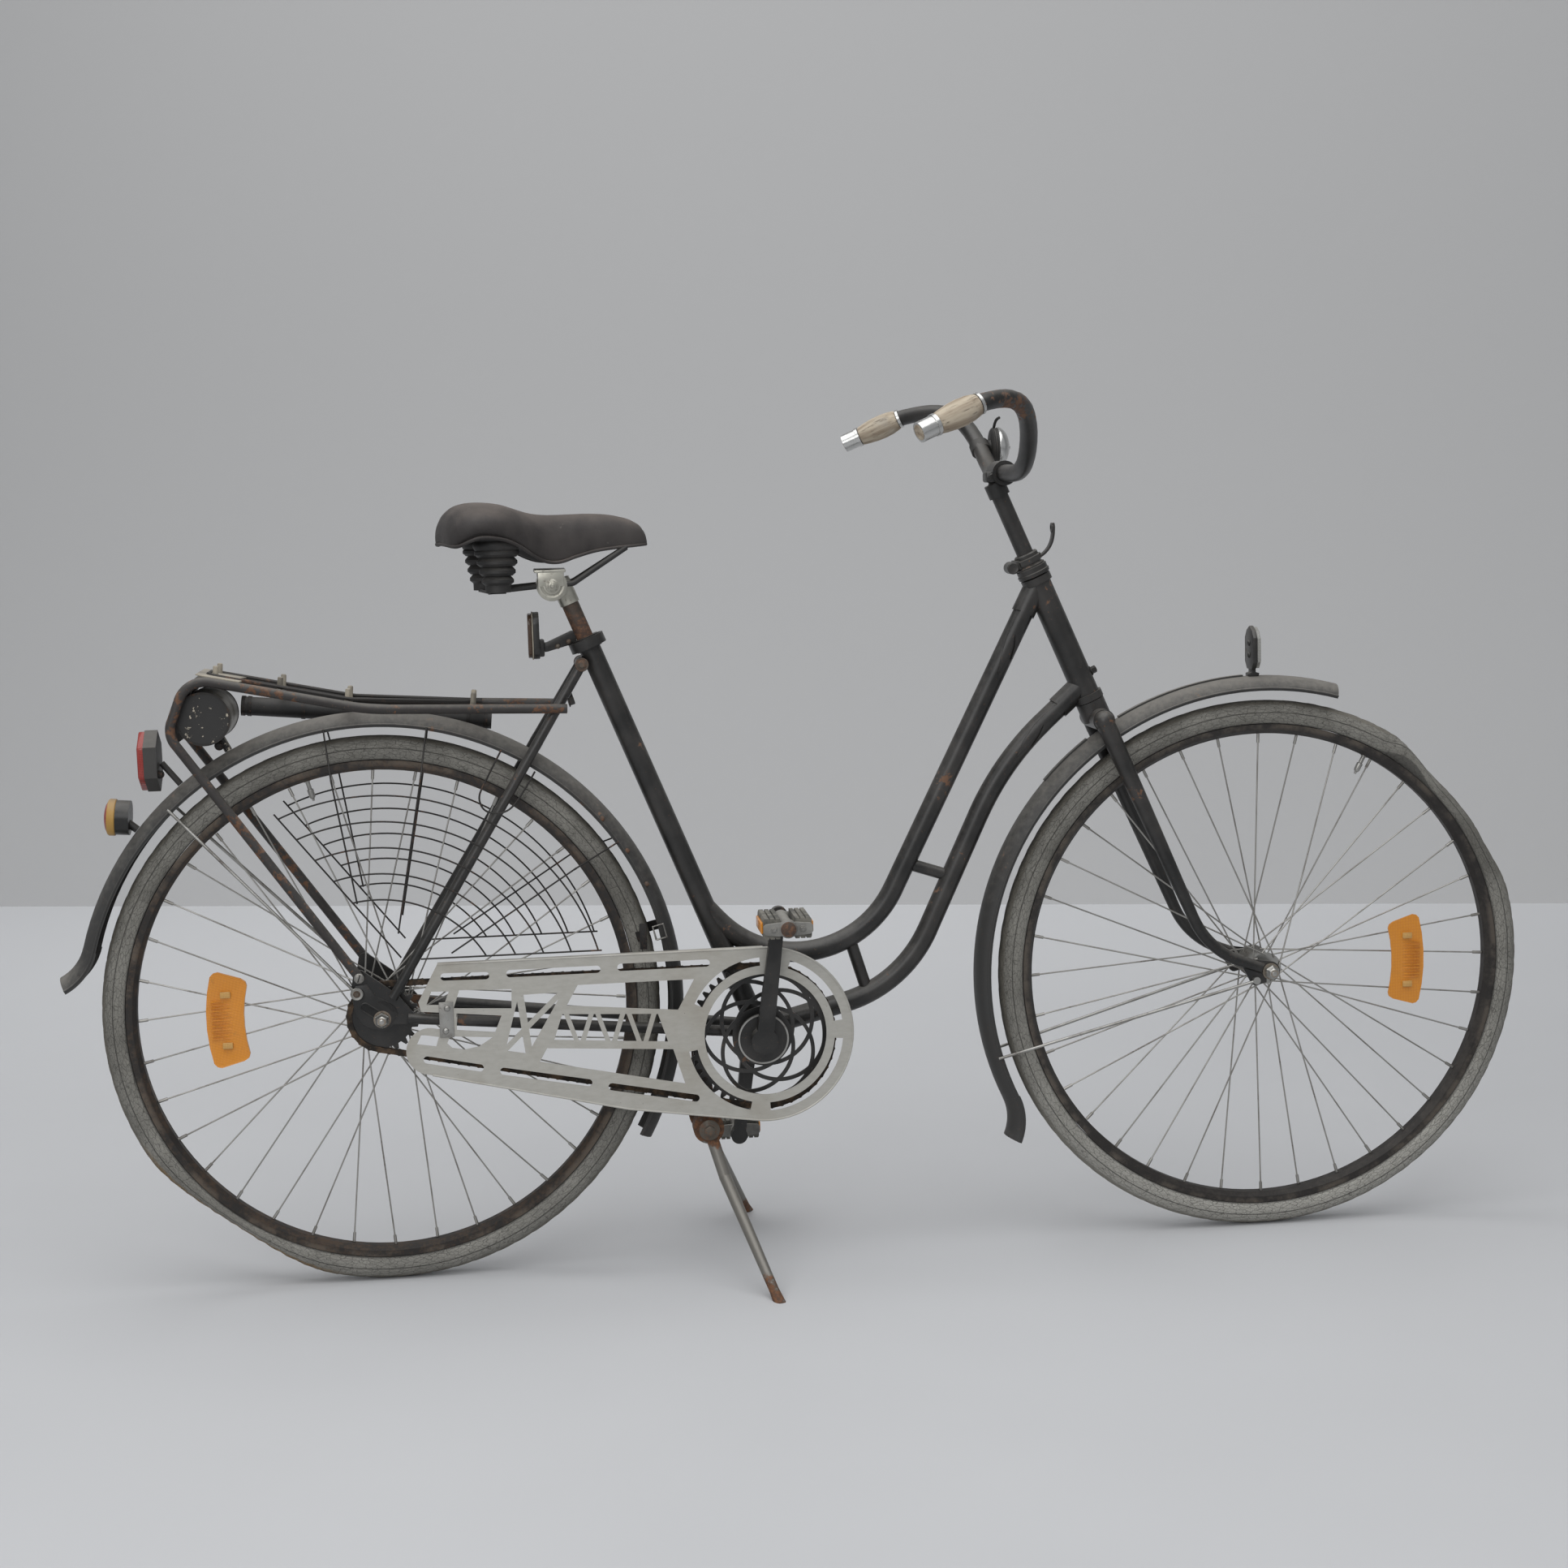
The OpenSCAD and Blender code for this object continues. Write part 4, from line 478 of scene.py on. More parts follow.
NODE_LOOKS = {
    "black_paint": ["seat_tube", "head_tube", "upper_tube", "lower_tube", "tube_braces", "head_lugs",
                    "bottom_bracket", "chain_stays", "seat_stays", "fork", "fork_collar", "stem",
                    "chainring", "sprocket", "crank_right", "crank_left", "post_reflector", "guard_reflector",
                    "front_reflector"],
    "bar_paint": ["handlebar"],
    "rusty_paint": ["carrier_deck", "carrier_legs", "stand_bracket", "brake_arm"],
    "guard_paint": ["rear_mudguard", "front_mudguard"],
    "grey": ["tail_reflector"],
    "axle": ["rear_axle", "front_axle"],
    "steel": ["rear_hub", "front_hub", "rear_guard_stays", "front_guard_stays"],
    "dark_steel": ["carrier_spring", "skirt_net_left", "skirt_net_right"],
    "black_rubber": ["pump", "saddle_frame"],
    "bright": ["ferrules", "bell"],
    "post": ["seat_post"],
    "stand": ["stand_legs"],
    "spoke": ["front_spokes", "rear_spokes"],
    "front_rim": ["front_rim"],
    "rear_rim": ["rear_rim"],
    "guard": ["chain_guard"],
    "chain": ["chain"],
    "front_tyre": ["front_tyre"],
    "rear_tyre": ["rear_tyre"],
    "vinyl": ["saddle"],
    "wood": ["grips"],
    "amber": ["front_spoke_reflector", "rear_spoke_reflector"],
    "pedal": ["pedal_right", "pedal_left"],
    "can": ["tool_can"],
}
for look, names in NODE_LOOKS.items():
    for name in names:
        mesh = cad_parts[name].data
        mesh.materials.clear()
        mesh.materials.append(looks[look])


# Modelling

def fresh():
    """Back in object mode with nothing selected."""
    if bpy.context.object and bpy.context.object.mode != "OBJECT":
        bpy.ops.object.mode_set(mode="OBJECT")
    bpy.ops.object.select_all(action="DESELECT")


def take(piece):
    fresh()
    piece.select_set(True)
    bpy.context.view_layer.objects.active = piece


def named_as(piece, name):
    piece.name = name
    piece.data.name = name
    return piece


def named(name):
    return named_as(bpy.context.object, name)


def edit_all():
    """Edit mode with everything selected."""
    bpy.ops.object.mode_set(mode="EDIT")
    bpy.ops.mesh.select_all(action="SELECT")


def settle(piece):
    """A piece's place, turn and size go into its mesh."""
    take(piece)
    bpy.ops.object.transform_apply(location=True, rotation=True, scale=True)
    return piece


def closed(piece):
    """Doubles merged, holes filled, faces turned outwards."""
    take(piece)
    edit_all()
    bpy.ops.mesh.remove_doubles(threshold=5e-6)
    bpy.ops.mesh.fill_holes(sides=0)
    bpy.ops.mesh.select_all(action="SELECT")
    bpy.ops.mesh.normals_make_consistent(inside=False)
    bpy.ops.object.mode_set(mode="OBJECT")
    return piece


def turned(name, profile, foot, axis, sides=24):
    """A round piece drawn up along an axis: (height, radius) pairs in millimetres."""
    fresh()
    height, radius = profile[0]
    bpy.ops.mesh.primitive_circle_add(vertices=sides, radius=radius / 1000, fill_type="NGON",
                                      location=(0, 0, height / 1000))
    piece = named(name)
    bpy.ops.object.mode_set(mode="EDIT")
    for up, wide in profile[1:]:
        bpy.ops.mesh.extrude_region_move(TRANSFORM_OT_translate={"value": (0, 0, (up - height) / 1000)})
        bpy.ops.transform.resize(value=(wide / radius, wide / radius, 1), center_override=(0, 0, up / 1000))
        height, radius = up, wide
    fresh()
    turn = Vector(axis).to_track_quat("Z", "Y").to_matrix().to_4x4()
    piece.matrix_world = Matrix.Translation(at(*foot)) @ turn @ piece.matrix_world
    return closed(settle(piece))


def block(name, centre, size, round_off, segments=2):
    """A box with rounded edges, centre and size in millimetres."""
    fresh()
    bpy.ops.mesh.primitive_cube_add(size=1, location=at(*centre), scale=[s / 1000 for s in size])
    piece = settle(named(name))
    edit_all()
    bpy.ops.mesh.bevel(offset=round_off / 1000, segments=segments, affect="EDGES")
    fresh()
    return piece


def wire(name, points, radius, smooth=True, order=3):
    """A round wire through points in millimetres."""
    fresh()
    bpy.ops.curve.primitive_nurbs_path_add()
    piece = named(name)
    path = piece.data
    path.splines.clear()
    spline = path.splines.new("NURBS" if smooth else "POLY")
    spline.points.add(len(points) - 1)
    for point, place in zip(spline.points, points):
        point.co = (*at(*place), 1)
    if smooth:
        spline.order_u = order
        spline.use_endpoint_u = True
    path.dimensions = "3D"
    path.resolution_u = 6
    path.bevel_depth = radius / 1000
    path.bevel_resolution = 2 if radius < 4 else 5
    path.use_fill_caps = True
    bpy.ops.object.convert(target="MESH")
    return settle(named(name))


def together(name, pieces):
    """Several pieces become one."""
    fresh()
    for piece in pieces:
        piece.select_set(True)
    bpy.context.view_layer.objects.active = pieces[0]
    if len(pieces) > 1:
        bpy.ops.object.join()
    return named(name)


def copied(piece, name, matrix):
    """A copy with its own mesh, moved by a matrix."""
    twin = piece.copy()
    twin.data = piece.data.copy()
    twin.name = name
    bpy.context.scene.collection.objects.link(twin)
    twin.data.transform(matrix)
    if matrix.determinant() < 0:
        twin.data.flip_normals()
    return twin


def dress(piece, look, body, slot, corner=40, replaces=()):
    """Finish, smoothing and the body that carries the piece."""
    piece.data.materials.clear()
    piece.data.materials.append(looks[look])
    take(piece)
    bpy.ops.object.shade_smooth_by_angle(angle=math.radians(corner))
    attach(piece, body)
    if replaces:
        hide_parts(*replaces)
    return piece


def plate(name, outline, place, across, up, thick, round_off=0.0):
    """A flat piece: (across, up) millimetres round a place, drawn out square to both."""
    fresh()
    across, up = Vector(across), Vector(up)
    bpy.ops.mesh.primitive_circle_add(vertices=len(outline), radius=0.01, fill_type="NGON")
    piece = named(name)
    for v, (a, u) in zip(piece.data.vertices, outline):
        v.co = at(*(Vector(place) + across * a + up * u))
    out = across.cross(up).normalized() * thick / 1000
    edit_all()
    bpy.ops.mesh.extrude_region_move(TRANSFORM_OT_translate={"value": out})
    if round_off:
        bpy.ops.mesh.select_all(action="SELECT")
        bpy.ops.mesh.normals_make_consistent(inside=False)
        bpy.ops.mesh.bevel(offset=round_off / 1000, segments=2, affect="EDGES")
    fresh()
    return closed(piece)


def band(name, centre, axis, start, radius, width, thick, sweep=360, steps=40):
    """A flat strap spun round an axis, from the start's direction on."""
    axis, start = Vector(axis).normalized(), Vector(start).normalized()
    fresh()
    bpy.ops.mesh.primitive_plane_add(size=1)
    piece = named(name)
    for v, (out, side) in zip(piece.data.vertices, ((0, -0.5), (0, 0.5), (1, -0.5), (1, 0.5))):
        v.co = at(*(Vector(centre) + start * (radius + out * thick) + axis * side * width))
    edit_all()
    bpy.ops.mesh.delete(type="ONLY_FACE")
    bpy.ops.mesh.select_all(action="SELECT")
    bpy.ops.mesh.spin(steps=steps, angle=math.radians(sweep), center=at(*centre), axis=axis)
    fresh()
    return closed(piece)


def bolt(foot, axis, size, tall):
    """A hexagon head on its washer."""
    return [turned("washer", [(-0.5, size * 1.3), (0.8, size * 1.36), (1.4, size * 1.2)], foot, axis, 20),
            turned("head", [(1, size), (tall - 0.8, size), (tall, size * 0.8)], foot, axis, 6)]


def screw(foot, axis, size):
    """A domed head."""
    dome = [(-1, size), (0.2 * size, size), (0.5 * size, 0.75 * size), (0.62 * size, 0.3 * size)]
    return [turned("screw", dome, foot, axis, 14)]


def arc(hub, radius, y, start, end, steps):
    """Places on a circle about an axle."""
    turns = [start + (end - start) * i / steps for i in range(steps + 1)]
    return [hub + radius * ray(t) + y * LEFT for t in turns]


def hump(value, middle, half):
    """A smooth rise of one within half of the middle."""
    t = abs(value - middle) / half
    return 0.0 if t >= 1 else (1 - t * t) ** 2


# Tyres: a ring pressed flat where it has gone soft, with small tread blocks and the damage that age has left

def tyre(name, hub, sag, twist):
    """A tyre cover; sag and twist give its height and its roll at an angle round the wheel."""
    fresh()
    count, slant, tread, groove = 540, 260, 0.0115, 0.955
    bpy.ops.mesh.primitive_torus_add(major_radius=TYRE_MID, minor_radius=TYRE_ROUND, major_segments=count,
                                     minor_segments=28, rotation=(math.pi / 2, 0, 0))
    piece = settle(named(name))
    rest = piece.data.attributes.new("unbent", "FLOAT_VECTOR", "POINT")
    centre = at(*hub)
    for v, note in zip(piece.data.vertices, rest.data):
        note.vector = v.co
        angle = math.degrees(math.atan2(v.co.z, v.co.x))
        off = Vector((math.hypot(v.co.x, v.co.z) - TYRE_MID, v.co.y))
        if off.x > tread and round(angle * count / 360 + abs(off.y) * slant) % 3 == 0:
            off *= groove
        spun = math.radians(twist(angle))
        off = Vector((off.x * math.cos(spun) - off.y * math.sin(spun),
                      off.x * math.sin(spun) + off.y * math.cos(spun)))
        height = TYRE_MID + off.x - TYRE_SEAT
        out = ray(angle) * (TYRE_SEAT + max(0, height * sag(angle)))
        v.co = centre + Vector((out.x, off.y, out.z))
    return piece


front_tyre = tyre("front_tyre_cover", FRONT_HUB,
                  lambda a: 1 - 0.42 * hump(a, 44, 15) - 0.3 * hump(a, 28, 14),
                  lambda a: 46 * hump(a, 52, 9))
dress(front_tyre, "front_tyre", "front_wheel", "tyre", replaces=["front_tyre"])
rear_tyre = tyre("rear_tyre_cover", REAR_HUB,
                 lambda a: 1 - 0.5 * hump(a, -127, 24) + 0.02 * math.sin(a * 1.7) * hump(a, -127, 40),
                 lambda a: 0.0)
dress(rear_tyre, "rear_tyre", "rear_wheel", "tyre", replaces=["rear_tyre"])


# Saddle: a firm padded cover, drawn as a column of rings and then shaped station by station

SADDLE_TURN = math.radians(9)
SADDLE = [(96, 38, 964, 951), (99, 64, 977, 948), (106, 86, 989, 947.5), (117, 96, 998, 952.5),
          (132, 100, 1002, 958), (152, 98, 1002, 957), (172, 89, 999, 952), (190, 75, 993, 943),
          (207, 60, 987.5, 932), (224, 47, 984.6, 924.5), (243, 38, 983.8, 923.5), (262, 33, 984, 929),
          (288, 29, 984, 935.5), (314, 27, 981.8, 938.8), (338, 25, 976, 940.5), (352, 20, 968, 941.5),
          (359, 14, 958, 942), (361, 9, 950, 942)]


def station(x):
    """Half width, top and lip of the saddle at a place along it, on a smooth line through the stations."""
    last = len(SADDLE) - 1
    i = max(0, min(last - 1, sum(1 for row in SADDLE if row[0] <= x) - 1))
    rows = [SADDLE[max(0, min(last, i + k))] for k in (-1, 0, 1, 2)]
    t = (x - rows[1][0]) / (rows[2][0] - rows[1][0])
    found = []
    for a, b, c, d in zip(*rows):
        found.append(0.5 * (2 * b + (c - a) * t + (2 * a - 5 * b + 4 * c - d) * t * t
                            + (3 * b - a - 3 * c + d) * t ** 3))
    return found[1:]


def saddle():
    """Each station is an arch over the waist and, below it, walls that turn in under the lip."""
    rings, back, nose = 64, SADDLE[0][0], SADDLE[-1][0]
    piece = turned("saddle_cover", [(i, 10) for i in range(rings + 1)], (MIDDLE, 0, 0), UP, 48)
    turn = Matrix.Rotation(SADDLE_TURN, 4, "Z")
    pivot = at(POST_CLAMP.x, 0, 0)
    for v in piece.data.vertices:
        ring = round(v.co.z * 1000)
        x = back + (nose - back) * (0.5 - 0.5 * math.cos(math.pi * ring / rings))
        wide, top, lip = station(x)
        angle = math.atan2(v.co.y, v.co.x)
        c, s = math.cos(angle), math.sin(angle)
        waist = lip + 0.34 * (top - lip)
        if s >= 0:
            y = wide * math.copysign(abs(c) ** 0.8, c)
            z = waist + (top - waist) * s ** 0.9
        else:
            low = abs(s)
            under = max(0, low - 0.75)
            y = wide * math.copysign(abs(c) ** 0.5, c) * (1 - 0.5 * under)
            z = waist - (waist - lip) * min(1, low * 1.6) + min(14, 0.3 * (top - lip)) * under / 0.25
        v.co = turn @ (at(x, y, z) - pivot) + pivot
    closed(piece)
    soft = piece.modifiers.new("soften", "SUBSURF")
    soft.levels = soft.render_levels = 1
    bpy.ops.object.modifier_apply(modifier="soften")
    return piece


def saddle_lip():
    """The moulded bead along the cover's lower edge."""
    turn = Matrix.Rotation(SADDLE_TURN, 3, "Z")
    pivot = Vector((POST_CLAMP.x, 0, 0))
    start, end, steps = 97, 359, 40
    runs = []
    for side in (-1, 1):
        run = []
        for i in range(steps + 1):
            x = start + (end - start) * i / steps
            wide, _, lip = station(x)
            run.append(turn @ (Vector((x, side * (wide - 2.5), lip + 1.2)) - pivot) + pivot)
        runs.append(run)
    return wire("saddle_lip_bead", runs[0][::-1] + runs[1], 2.2)


def spring_necks():
    """The bellows' upper folds, which go up inside the cover."""
    turn = Matrix.Rotation(SADDLE_TURN, 3, "Z")
    folds = [(46, 24), (48, 27.6), (52, 29.4), (56, 29.4), (59, 27), (62, 29.6), (66, 30), (72, 27)]
    feet = [POST_CLAMP + turn @ Vector((-76.2, y, 0)) for y in (-50, 50)]
    return together("bellows_necks", [turned("neck", folds, foot, UP, 32) for foot in feet])


saddle_cover = dress(saddle(), "vinyl", "frame", "vinyl", 60, ["saddle"])
dress(saddle_lip(), "vinyl", "frame", "vinyl", 60)
dress(spring_necks(), "black_rubber", "frame", "black_paint", 60)


# Seat post clamp, collar arm and the upright reflector

def clamp_pieces():
    near, far = POST_CLAMP + 36 * RIGHT, POST_CLAMP + 36 * LEFT
    drum = [(0, 17), (2, 19.6), (69, 19.6), (71, 17), (71.2, 14.5), (70.4, 13), (71, 11.5), (72, 11),
            (72.3, 8)]
    parts = [turned("barrel", drum, far, RIGHT, 40),
             block("top", POST_CLAMP + Vector((-2, 0, 18.5)), (40, 74, 4), 1.2),
             turned("sleeve", [(46, 11.3), (46.6, 12.8), (80, 12.8), (81, 11.3)], SEAT_TOP, SEAT_DIR, 28)]
    parts += [block("cheek", POST_CLAMP + Vector((-1, y, 9)), (33, 2.4, 20), 1.0) for y in (-35, 35)]
    parts += bolt(near, RIGHT, 6.2, 6) + [turned("stud", [(0, 2.6), (8, 2.6), (8.8, 1.8)], near, RIGHT, 12)]
    return together("saddle_clamp", parts + bolt(far, LEFT, 6.2, 6))


def rounded(half_w, half_h, cut):
    """An upright outline with arched ends."""
    ends = [(half_w, half_h - cut), (half_w * 0.9, half_h - cut * 0.45), (half_w * 0.62, half_h - cut * 0.12),
            (half_w * 0.25, half_h)]
    upper = ends + [(-w, h) for w, h in ends[::-1]]
    return upper + [(-w, -h) for w, h in upper]


def post_reflector_pieces():
    case = plate("case", rounded(22, 30, 14), POST_LENS - 7 * FORWARD, LEFT, UP, 8, 1.2)
    foot = block("foot", POST_LENS + Vector((2, 0, -16)), (10, 20, 22), 2)
    collar = band("collar", SEAT_TOP - 8 * SEAT_DIR, SEAT_DIR, SEAT_SIDE, 20.3, 13, 3.2)
    arm = plate("arm", [(-4, -16), (7, -15), (44, -5), (44, 9), (38, 11), (6, -3), (-4, -4)],
                POST_LENS + Vector((4, 4, -6)), FORWARD, UP, 8, 0.8)
    body = together("post_reflector_case", [case, foot, collar, arm])
    trim = plate("post_reflector_trim", rounded(22.6, 30.6, 14), POST_LENS - 8.4 * FORWARD, LEFT, UP, 1.5)
    lens = plate("post_reflector_lens", rounded(20.6, 28.6, 13), POST_LENS - 13.6 * FORWARD, LEFT, UP,
                 5.4, 1.2)
    return body, trim, lens


dress(clamp_pieces(), "clamp", "frame", "steel")
case, trim, lens = post_reflector_pieces()
dress(case, "black_paint", "frame", "black_paint", replaces=["post_reflector"])
dress(trim, "cream", "frame", "grey_paint")
dress(lens, "brown_lens", "frame", "amber_lens")


# Reflectors on the tail, the mudguards and the spokes

def tail_lens():
    outline = [(-27, -19), (0, -38), (27, -19), (27, 19), (0, 38), (-27, 19)]
    return plate("tail_lens", outline, HEX_AT - 24 * FORWARD, LEFT, UP, 13, 2.2)


def cup_pieces():
    back = Vector((-12, 0, 1)).normalized()
    edge = [(5, 22.4), (6, 23.4), (13, 23.4), (15, 22), (15.2, 19.5)]
    dome = [(13, 19.6), (16, 19.4), (18, 16), (19.4, 10), (19.9, 3)]
    return (turned("guard_reflector_rim", edge, CUP_AT, back, 36),
            turned("guard_reflector_lens", dome, CUP_AT, back, 32))


def front_reflector_pieces():
    foot, middle = FRONT_HUB + 389.3 * ray(91), 37
    outline = [(-11, 8), (-19.5, 18), (-19.5, 50), (-12, 60), (0, 66), (12, 60), (19.5, 50), (19.5, 18),
               (11, 8)]
    inner = [(a * 0.92, middle + (u - middle) * 0.94) for a, u in outline]
    back = plate("back", outline, foot - 4 * FORWARD, LEFT, UP, 6, 1.2)
    bracket = plate("bracket", [(-7, -1), (7, -1), (8, 3), (3, 4.5), (3, 22), (-3, 22), (-3, 4.5), (-7, 3)],
                    foot + 7 * LEFT, FORWARD, UP, 14, 0.6)
    studs = [part for z in (27, 43) for part in screw(foot + Vector((-4, 0, z)), (-1, 0, 0), 4)]
    lens = plate("front_reflector_lens", inner, foot + 2 * FORWARD, LEFT, UP, 5, 1.2)
    return together("front_reflector_back", [back, bracket, *studs]), lens


def spoke_reflector(name, hub, across, up):
    """A ribbed plate between the spokes, its long edges on the wheel's circle, and its two clips."""
    end = [(221, 16), (216, 16.7), (186, 16.7), (179, 16)]
    corners = [(224, a) for a in (-14.6, -9, -3, 3, 9, 14.6)] + end
    corners += [(176, a) for a in (14.4, 9, 3, -3, -9, -14.4)] + [(r, -a) for r, a in end[::-1]]
    reach = 200
    outline = [(r * ray(a).x - reach, r * ray(a).z) for r, a in corners]
    middle = hub + Vector((math.copysign(reach, across.x), -15.9, 0))
    piece = plate(name, outline, middle, across, up, 4)
    front = across.cross(up).normalized()
    for face in piece.data.polygons:
        face.select = face.normal.dot(front) > 0.99
    bpy.ops.object.mode_set(mode="EDIT")
    bpy.ops.mesh.select_mode(type="FACE")
    bpy.ops.mesh.inset(thickness=0.0035, depth=-0.001)
    fresh()
    clips = [block("clip", middle + across * (-2) + up * u + front * 4.4, (13, 4, 8), 0.8) for u in (-33, 33)]
    ribs = [block("rib", middle + across * (-2) + up * u + front * 3.2, (38, 1.4, 0.9), 0.2, 1)
            for u in range(-24, 25, 4)]
    return together(name, [piece, *ribs]), together(name.replace("lens", "clips"), clips)


dress(tail_lens(), "red", "frame", "red_lens")
rim, lens = cup_pieces()
dress(rim, "ochre", "frame", "amber_lens")
dress(lens, "red", "frame", "red_lens")
back, lens = front_reflector_pieces()
dress(back, "black_paint", "steering", "black_paint", replaces=["front_reflector"])
dress(lens, "white", "steering", "white_lens")
for end, hub, way in (("front", FRONT_HUB, 1), ("rear", REAR_HUB, -1)):
    lens, clips = spoke_reflector(end + "_spoke_lens", hub, Vector((way, 0.11, 0)), way * UP)
    dress(lens, "amber", end + "_wheel", "amber_lens", replaces=[end + "_spoke_reflector"])
    dress(clips, "clip", end + "_wheel", "amber_lens")


# Chain: peanut plates round both sets of teeth

def chain_pins(count):
    """Pin places along the chain, from the sprocket's top over the chainring and back."""
    big, small = [HALF_PITCH / math.sin(math.pi / teeth) for teeth in (RING_TEETH, SPROCKET_TEETH)]
    span = CRANK_AXLE - REAR_HUB
    base = math.degrees(math.atan2(span.z, span.x))
    fan = math.degrees(math.acos((big - small) / span.length))
    top, low = base + 180 - fan, base + 180 + fan
    run = math.sqrt(span.length ** 2 - (big - small) ** 2)
    front, rear = math.radians(360 - (low - top)) * big, math.radians(low - top) * small
    upper = [REAR_HUB + small * ray(top), CRANK_AXLE + big * ray(top)]
    lower = [CRANK_AXLE + big * ray(low), REAR_HUB + small * ray(low)]
    step = (2 * run + front + rear) / count
    pins = []
    for i in range(count):
        s = i * step
        if s < run:
            pins.append(upper[0].lerp(upper[1], s / run))
        elif s < run + front:
            pins.append(CRANK_AXLE + big * ray(top - math.degrees((s - run) / big)))
        elif s < 2 * run + front:
            pins.append(lower[0].lerp(lower[1], (s - run - front) / run))
        else:
            pins.append(REAR_HUB + small * ray(low - math.degrees((s - 2 * run - front) / small)))
    return pins


def link(name, pitch, inside, thick, rollers):
    """One pair of plates about the origin, with rollers or pin heads at its ends."""
    ends = [(pitch / 2 + 4.2 * ray(a).x, 4.2 * ray(a).z) for a in (-125, -75, -25, 25, 75, 125)]
    outline = ends + [(-x, -z) for x, z in ends]
    half, radius = (inside, 3.8) if rollers else (inside + thick + 0.5, 1.9)
    parts = [plate("plate", outline, (MIDDLE, y, 0), FORWARD, UP, thick) for y in (-inside, inside + thick)]
    for x in (-pitch / 2, pitch / 2):
        parts.append(turned("pin", [(0, radius), (2 * half, radius)], (MIDDLE + x, -half, 0), LEFT, 8))
    return together(name, parts)


def chain():
    pins = chain_pins(CHAIN_LINKS)
    pitch = (pins[1] - pins[0]).length
    kinds = [link("inner_link", pitch, 1.7, 1.0, True), link("outer_link", pitch, 2.8, 1.0, False)]
    links = []
    for i, a in enumerate(pins):
        b = pins[(i + 1) % len(pins)]
        turn = Matrix.Rotation(-math.atan2(b.z - a.z, b.x - a.x), 4, "Y")
        place = Matrix.Translation(at(*((a + b) / 2 + CHAIN_LINE)))
        links.append(copied(kinds[i % 2], "link", place @ turn))
    for kind in kinds:
        bpy.data.objects.remove(kind)
    return together("chain_links", links)


dress(chain(), "chain", "frame", "chain_steel", replaces=["chain"])


# Chain guard: rolled edge, fixing strip and screws; the crank's cover ring

def guard_edge():
    y = GUARD_MID.y
    disc = [GUARD_MID + 113.4 * ray(90 - 184 * i / 40) for i in range(41)]
    top = [Vector((72, y, 423.6)), Vector((280, y, 424))]
    low = [GUARD_MID + Vector((-86, 0, -102)), Vector((307, y, 222.8)), Vector((60, y, 281))]
    return wire("guard_rolled_edge", top + disc + low, 1.5, False)


def guard_fixings():
    parts = [block("strip", (80.5, -67.6, 352), (18, 2.4, 46), 0.7)]
    for x, z in ((81.9, 366.8), (79.2, 337.6)):
        parts += screw((x, -68.6, z), RIGHT, 4)
    return together("guard_fixings", parts)


def crank_ring():
    return band("crank_cover_ring", CRANK_AXLE + 66.3 * RIGHT, RIGHT, FORWARD, 30.6, 1.2, 2.2, steps=56)


dress(guard_edge(), "guard", "frame", "guard_sheet")
dress(guard_fixings(), "steel", "frame", "steel")
dress(crank_ring(), "steel", "crankset", "steel")


# Pedals: ribbed rubbers between end plates, with lenses front and back

def pedal_pieces():
    """The right pedal's pieces, each with its look and its slot."""
    spot = CRANK_AXLE + CRANK_RUN
    ridge = []
    for i in range(3):
        x = 9.5 + 7 * i
        ridge += [(x, 13), (x + 5, 13), (x + 5.6, 10.6), (x + 6.4, 10.6)]
    ridge = ridge[:-2] + [(29.5, 11.5), (30, 9)]
    section = ridge + [(x, -z) for x, z in ridge[::-1]]
    rubbers = [plate("rubber", [(side * x, z) for x, z in section], spot + 108 * RIGHT, FORWARD, UP, 72)
               for side in (1, -1)]
    upper = [(31, 4), (28, 7), (12, 8.5), (-12, 8.5), (-28, 7), (-31, 4)]
    shape = [(-x, -z) for x, z in upper] + upper
    metal = [plate("end", shape, spot + y * RIGHT, FORWARD, UP, 4, 0.8) for y in (102, 182)]
    barrel = [(0, 8.5), (3, 10.5), (10, 10.5), (12, 9), (74, 9), (78, 11.5), (87, 11.5), (89, 9)]
    metal.append(turned("barrel", barrel, spot + 99.5 * RIGHT, RIGHT, 24))
    for x in (-18, 18):
        metal += bolt(spot + Vector((x, -186, 0)), RIGHT, 3.2, 3)
    lenses = [block("lens", spot + Vector((x, -144, 0)), (3.5, 56, 14), 1.2) for x in (-31.2, 31.2)]
    cap = turned("pedal_cap", [(-2, 9.6), (1.5, 9.6), (3, 7), (3.6, 2)], spot + 188 * RIGHT, RIGHT, 20)
    return [(together("pedal_rubbers", rubbers), "pedal", "pedal_rubber"),
            (together("pedal_plates", metal), "pedal_body", "steel"),
            (together("pedal_lenses", lenses), "amber", "amber_lens"),
            (cap, "post", "steel")]


over = Matrix.Translation(-2 * CRANK_RUN / 1000) @ MIRROR
for piece, look, slot in pedal_pieces():
    covers = piece.name == "pedal_rubbers"
    twin = copied(piece, "left_" + piece.name, over)
    named_as(piece, "right_" + piece.name)
    for one, body in ((piece, "pedal_right"), (twin, "pedal_left")):
        dress(one, look, body, slot, 35, [body] if covers else ())


# Carrier: dusty cover plate, posts, can rims, pump collars

def on_rail(t):
    return RAIL_DIP + (RAIL_BACK - RAIL_DIP) * t


def carrier_cover():
    along = (RAIL_BACK - RAIL_DIP).normalized()
    edge = [(158, -30), (160, -52), (205, -54), (214, -48)]
    outline = edge + [(a, -b) for a, b in edge[::-1]] + [(163, 0)]
    return plate("carrier_cover", outline, RAIL_DIP + 6.4 * UP, along, LEFT, 1.6, 0.5)


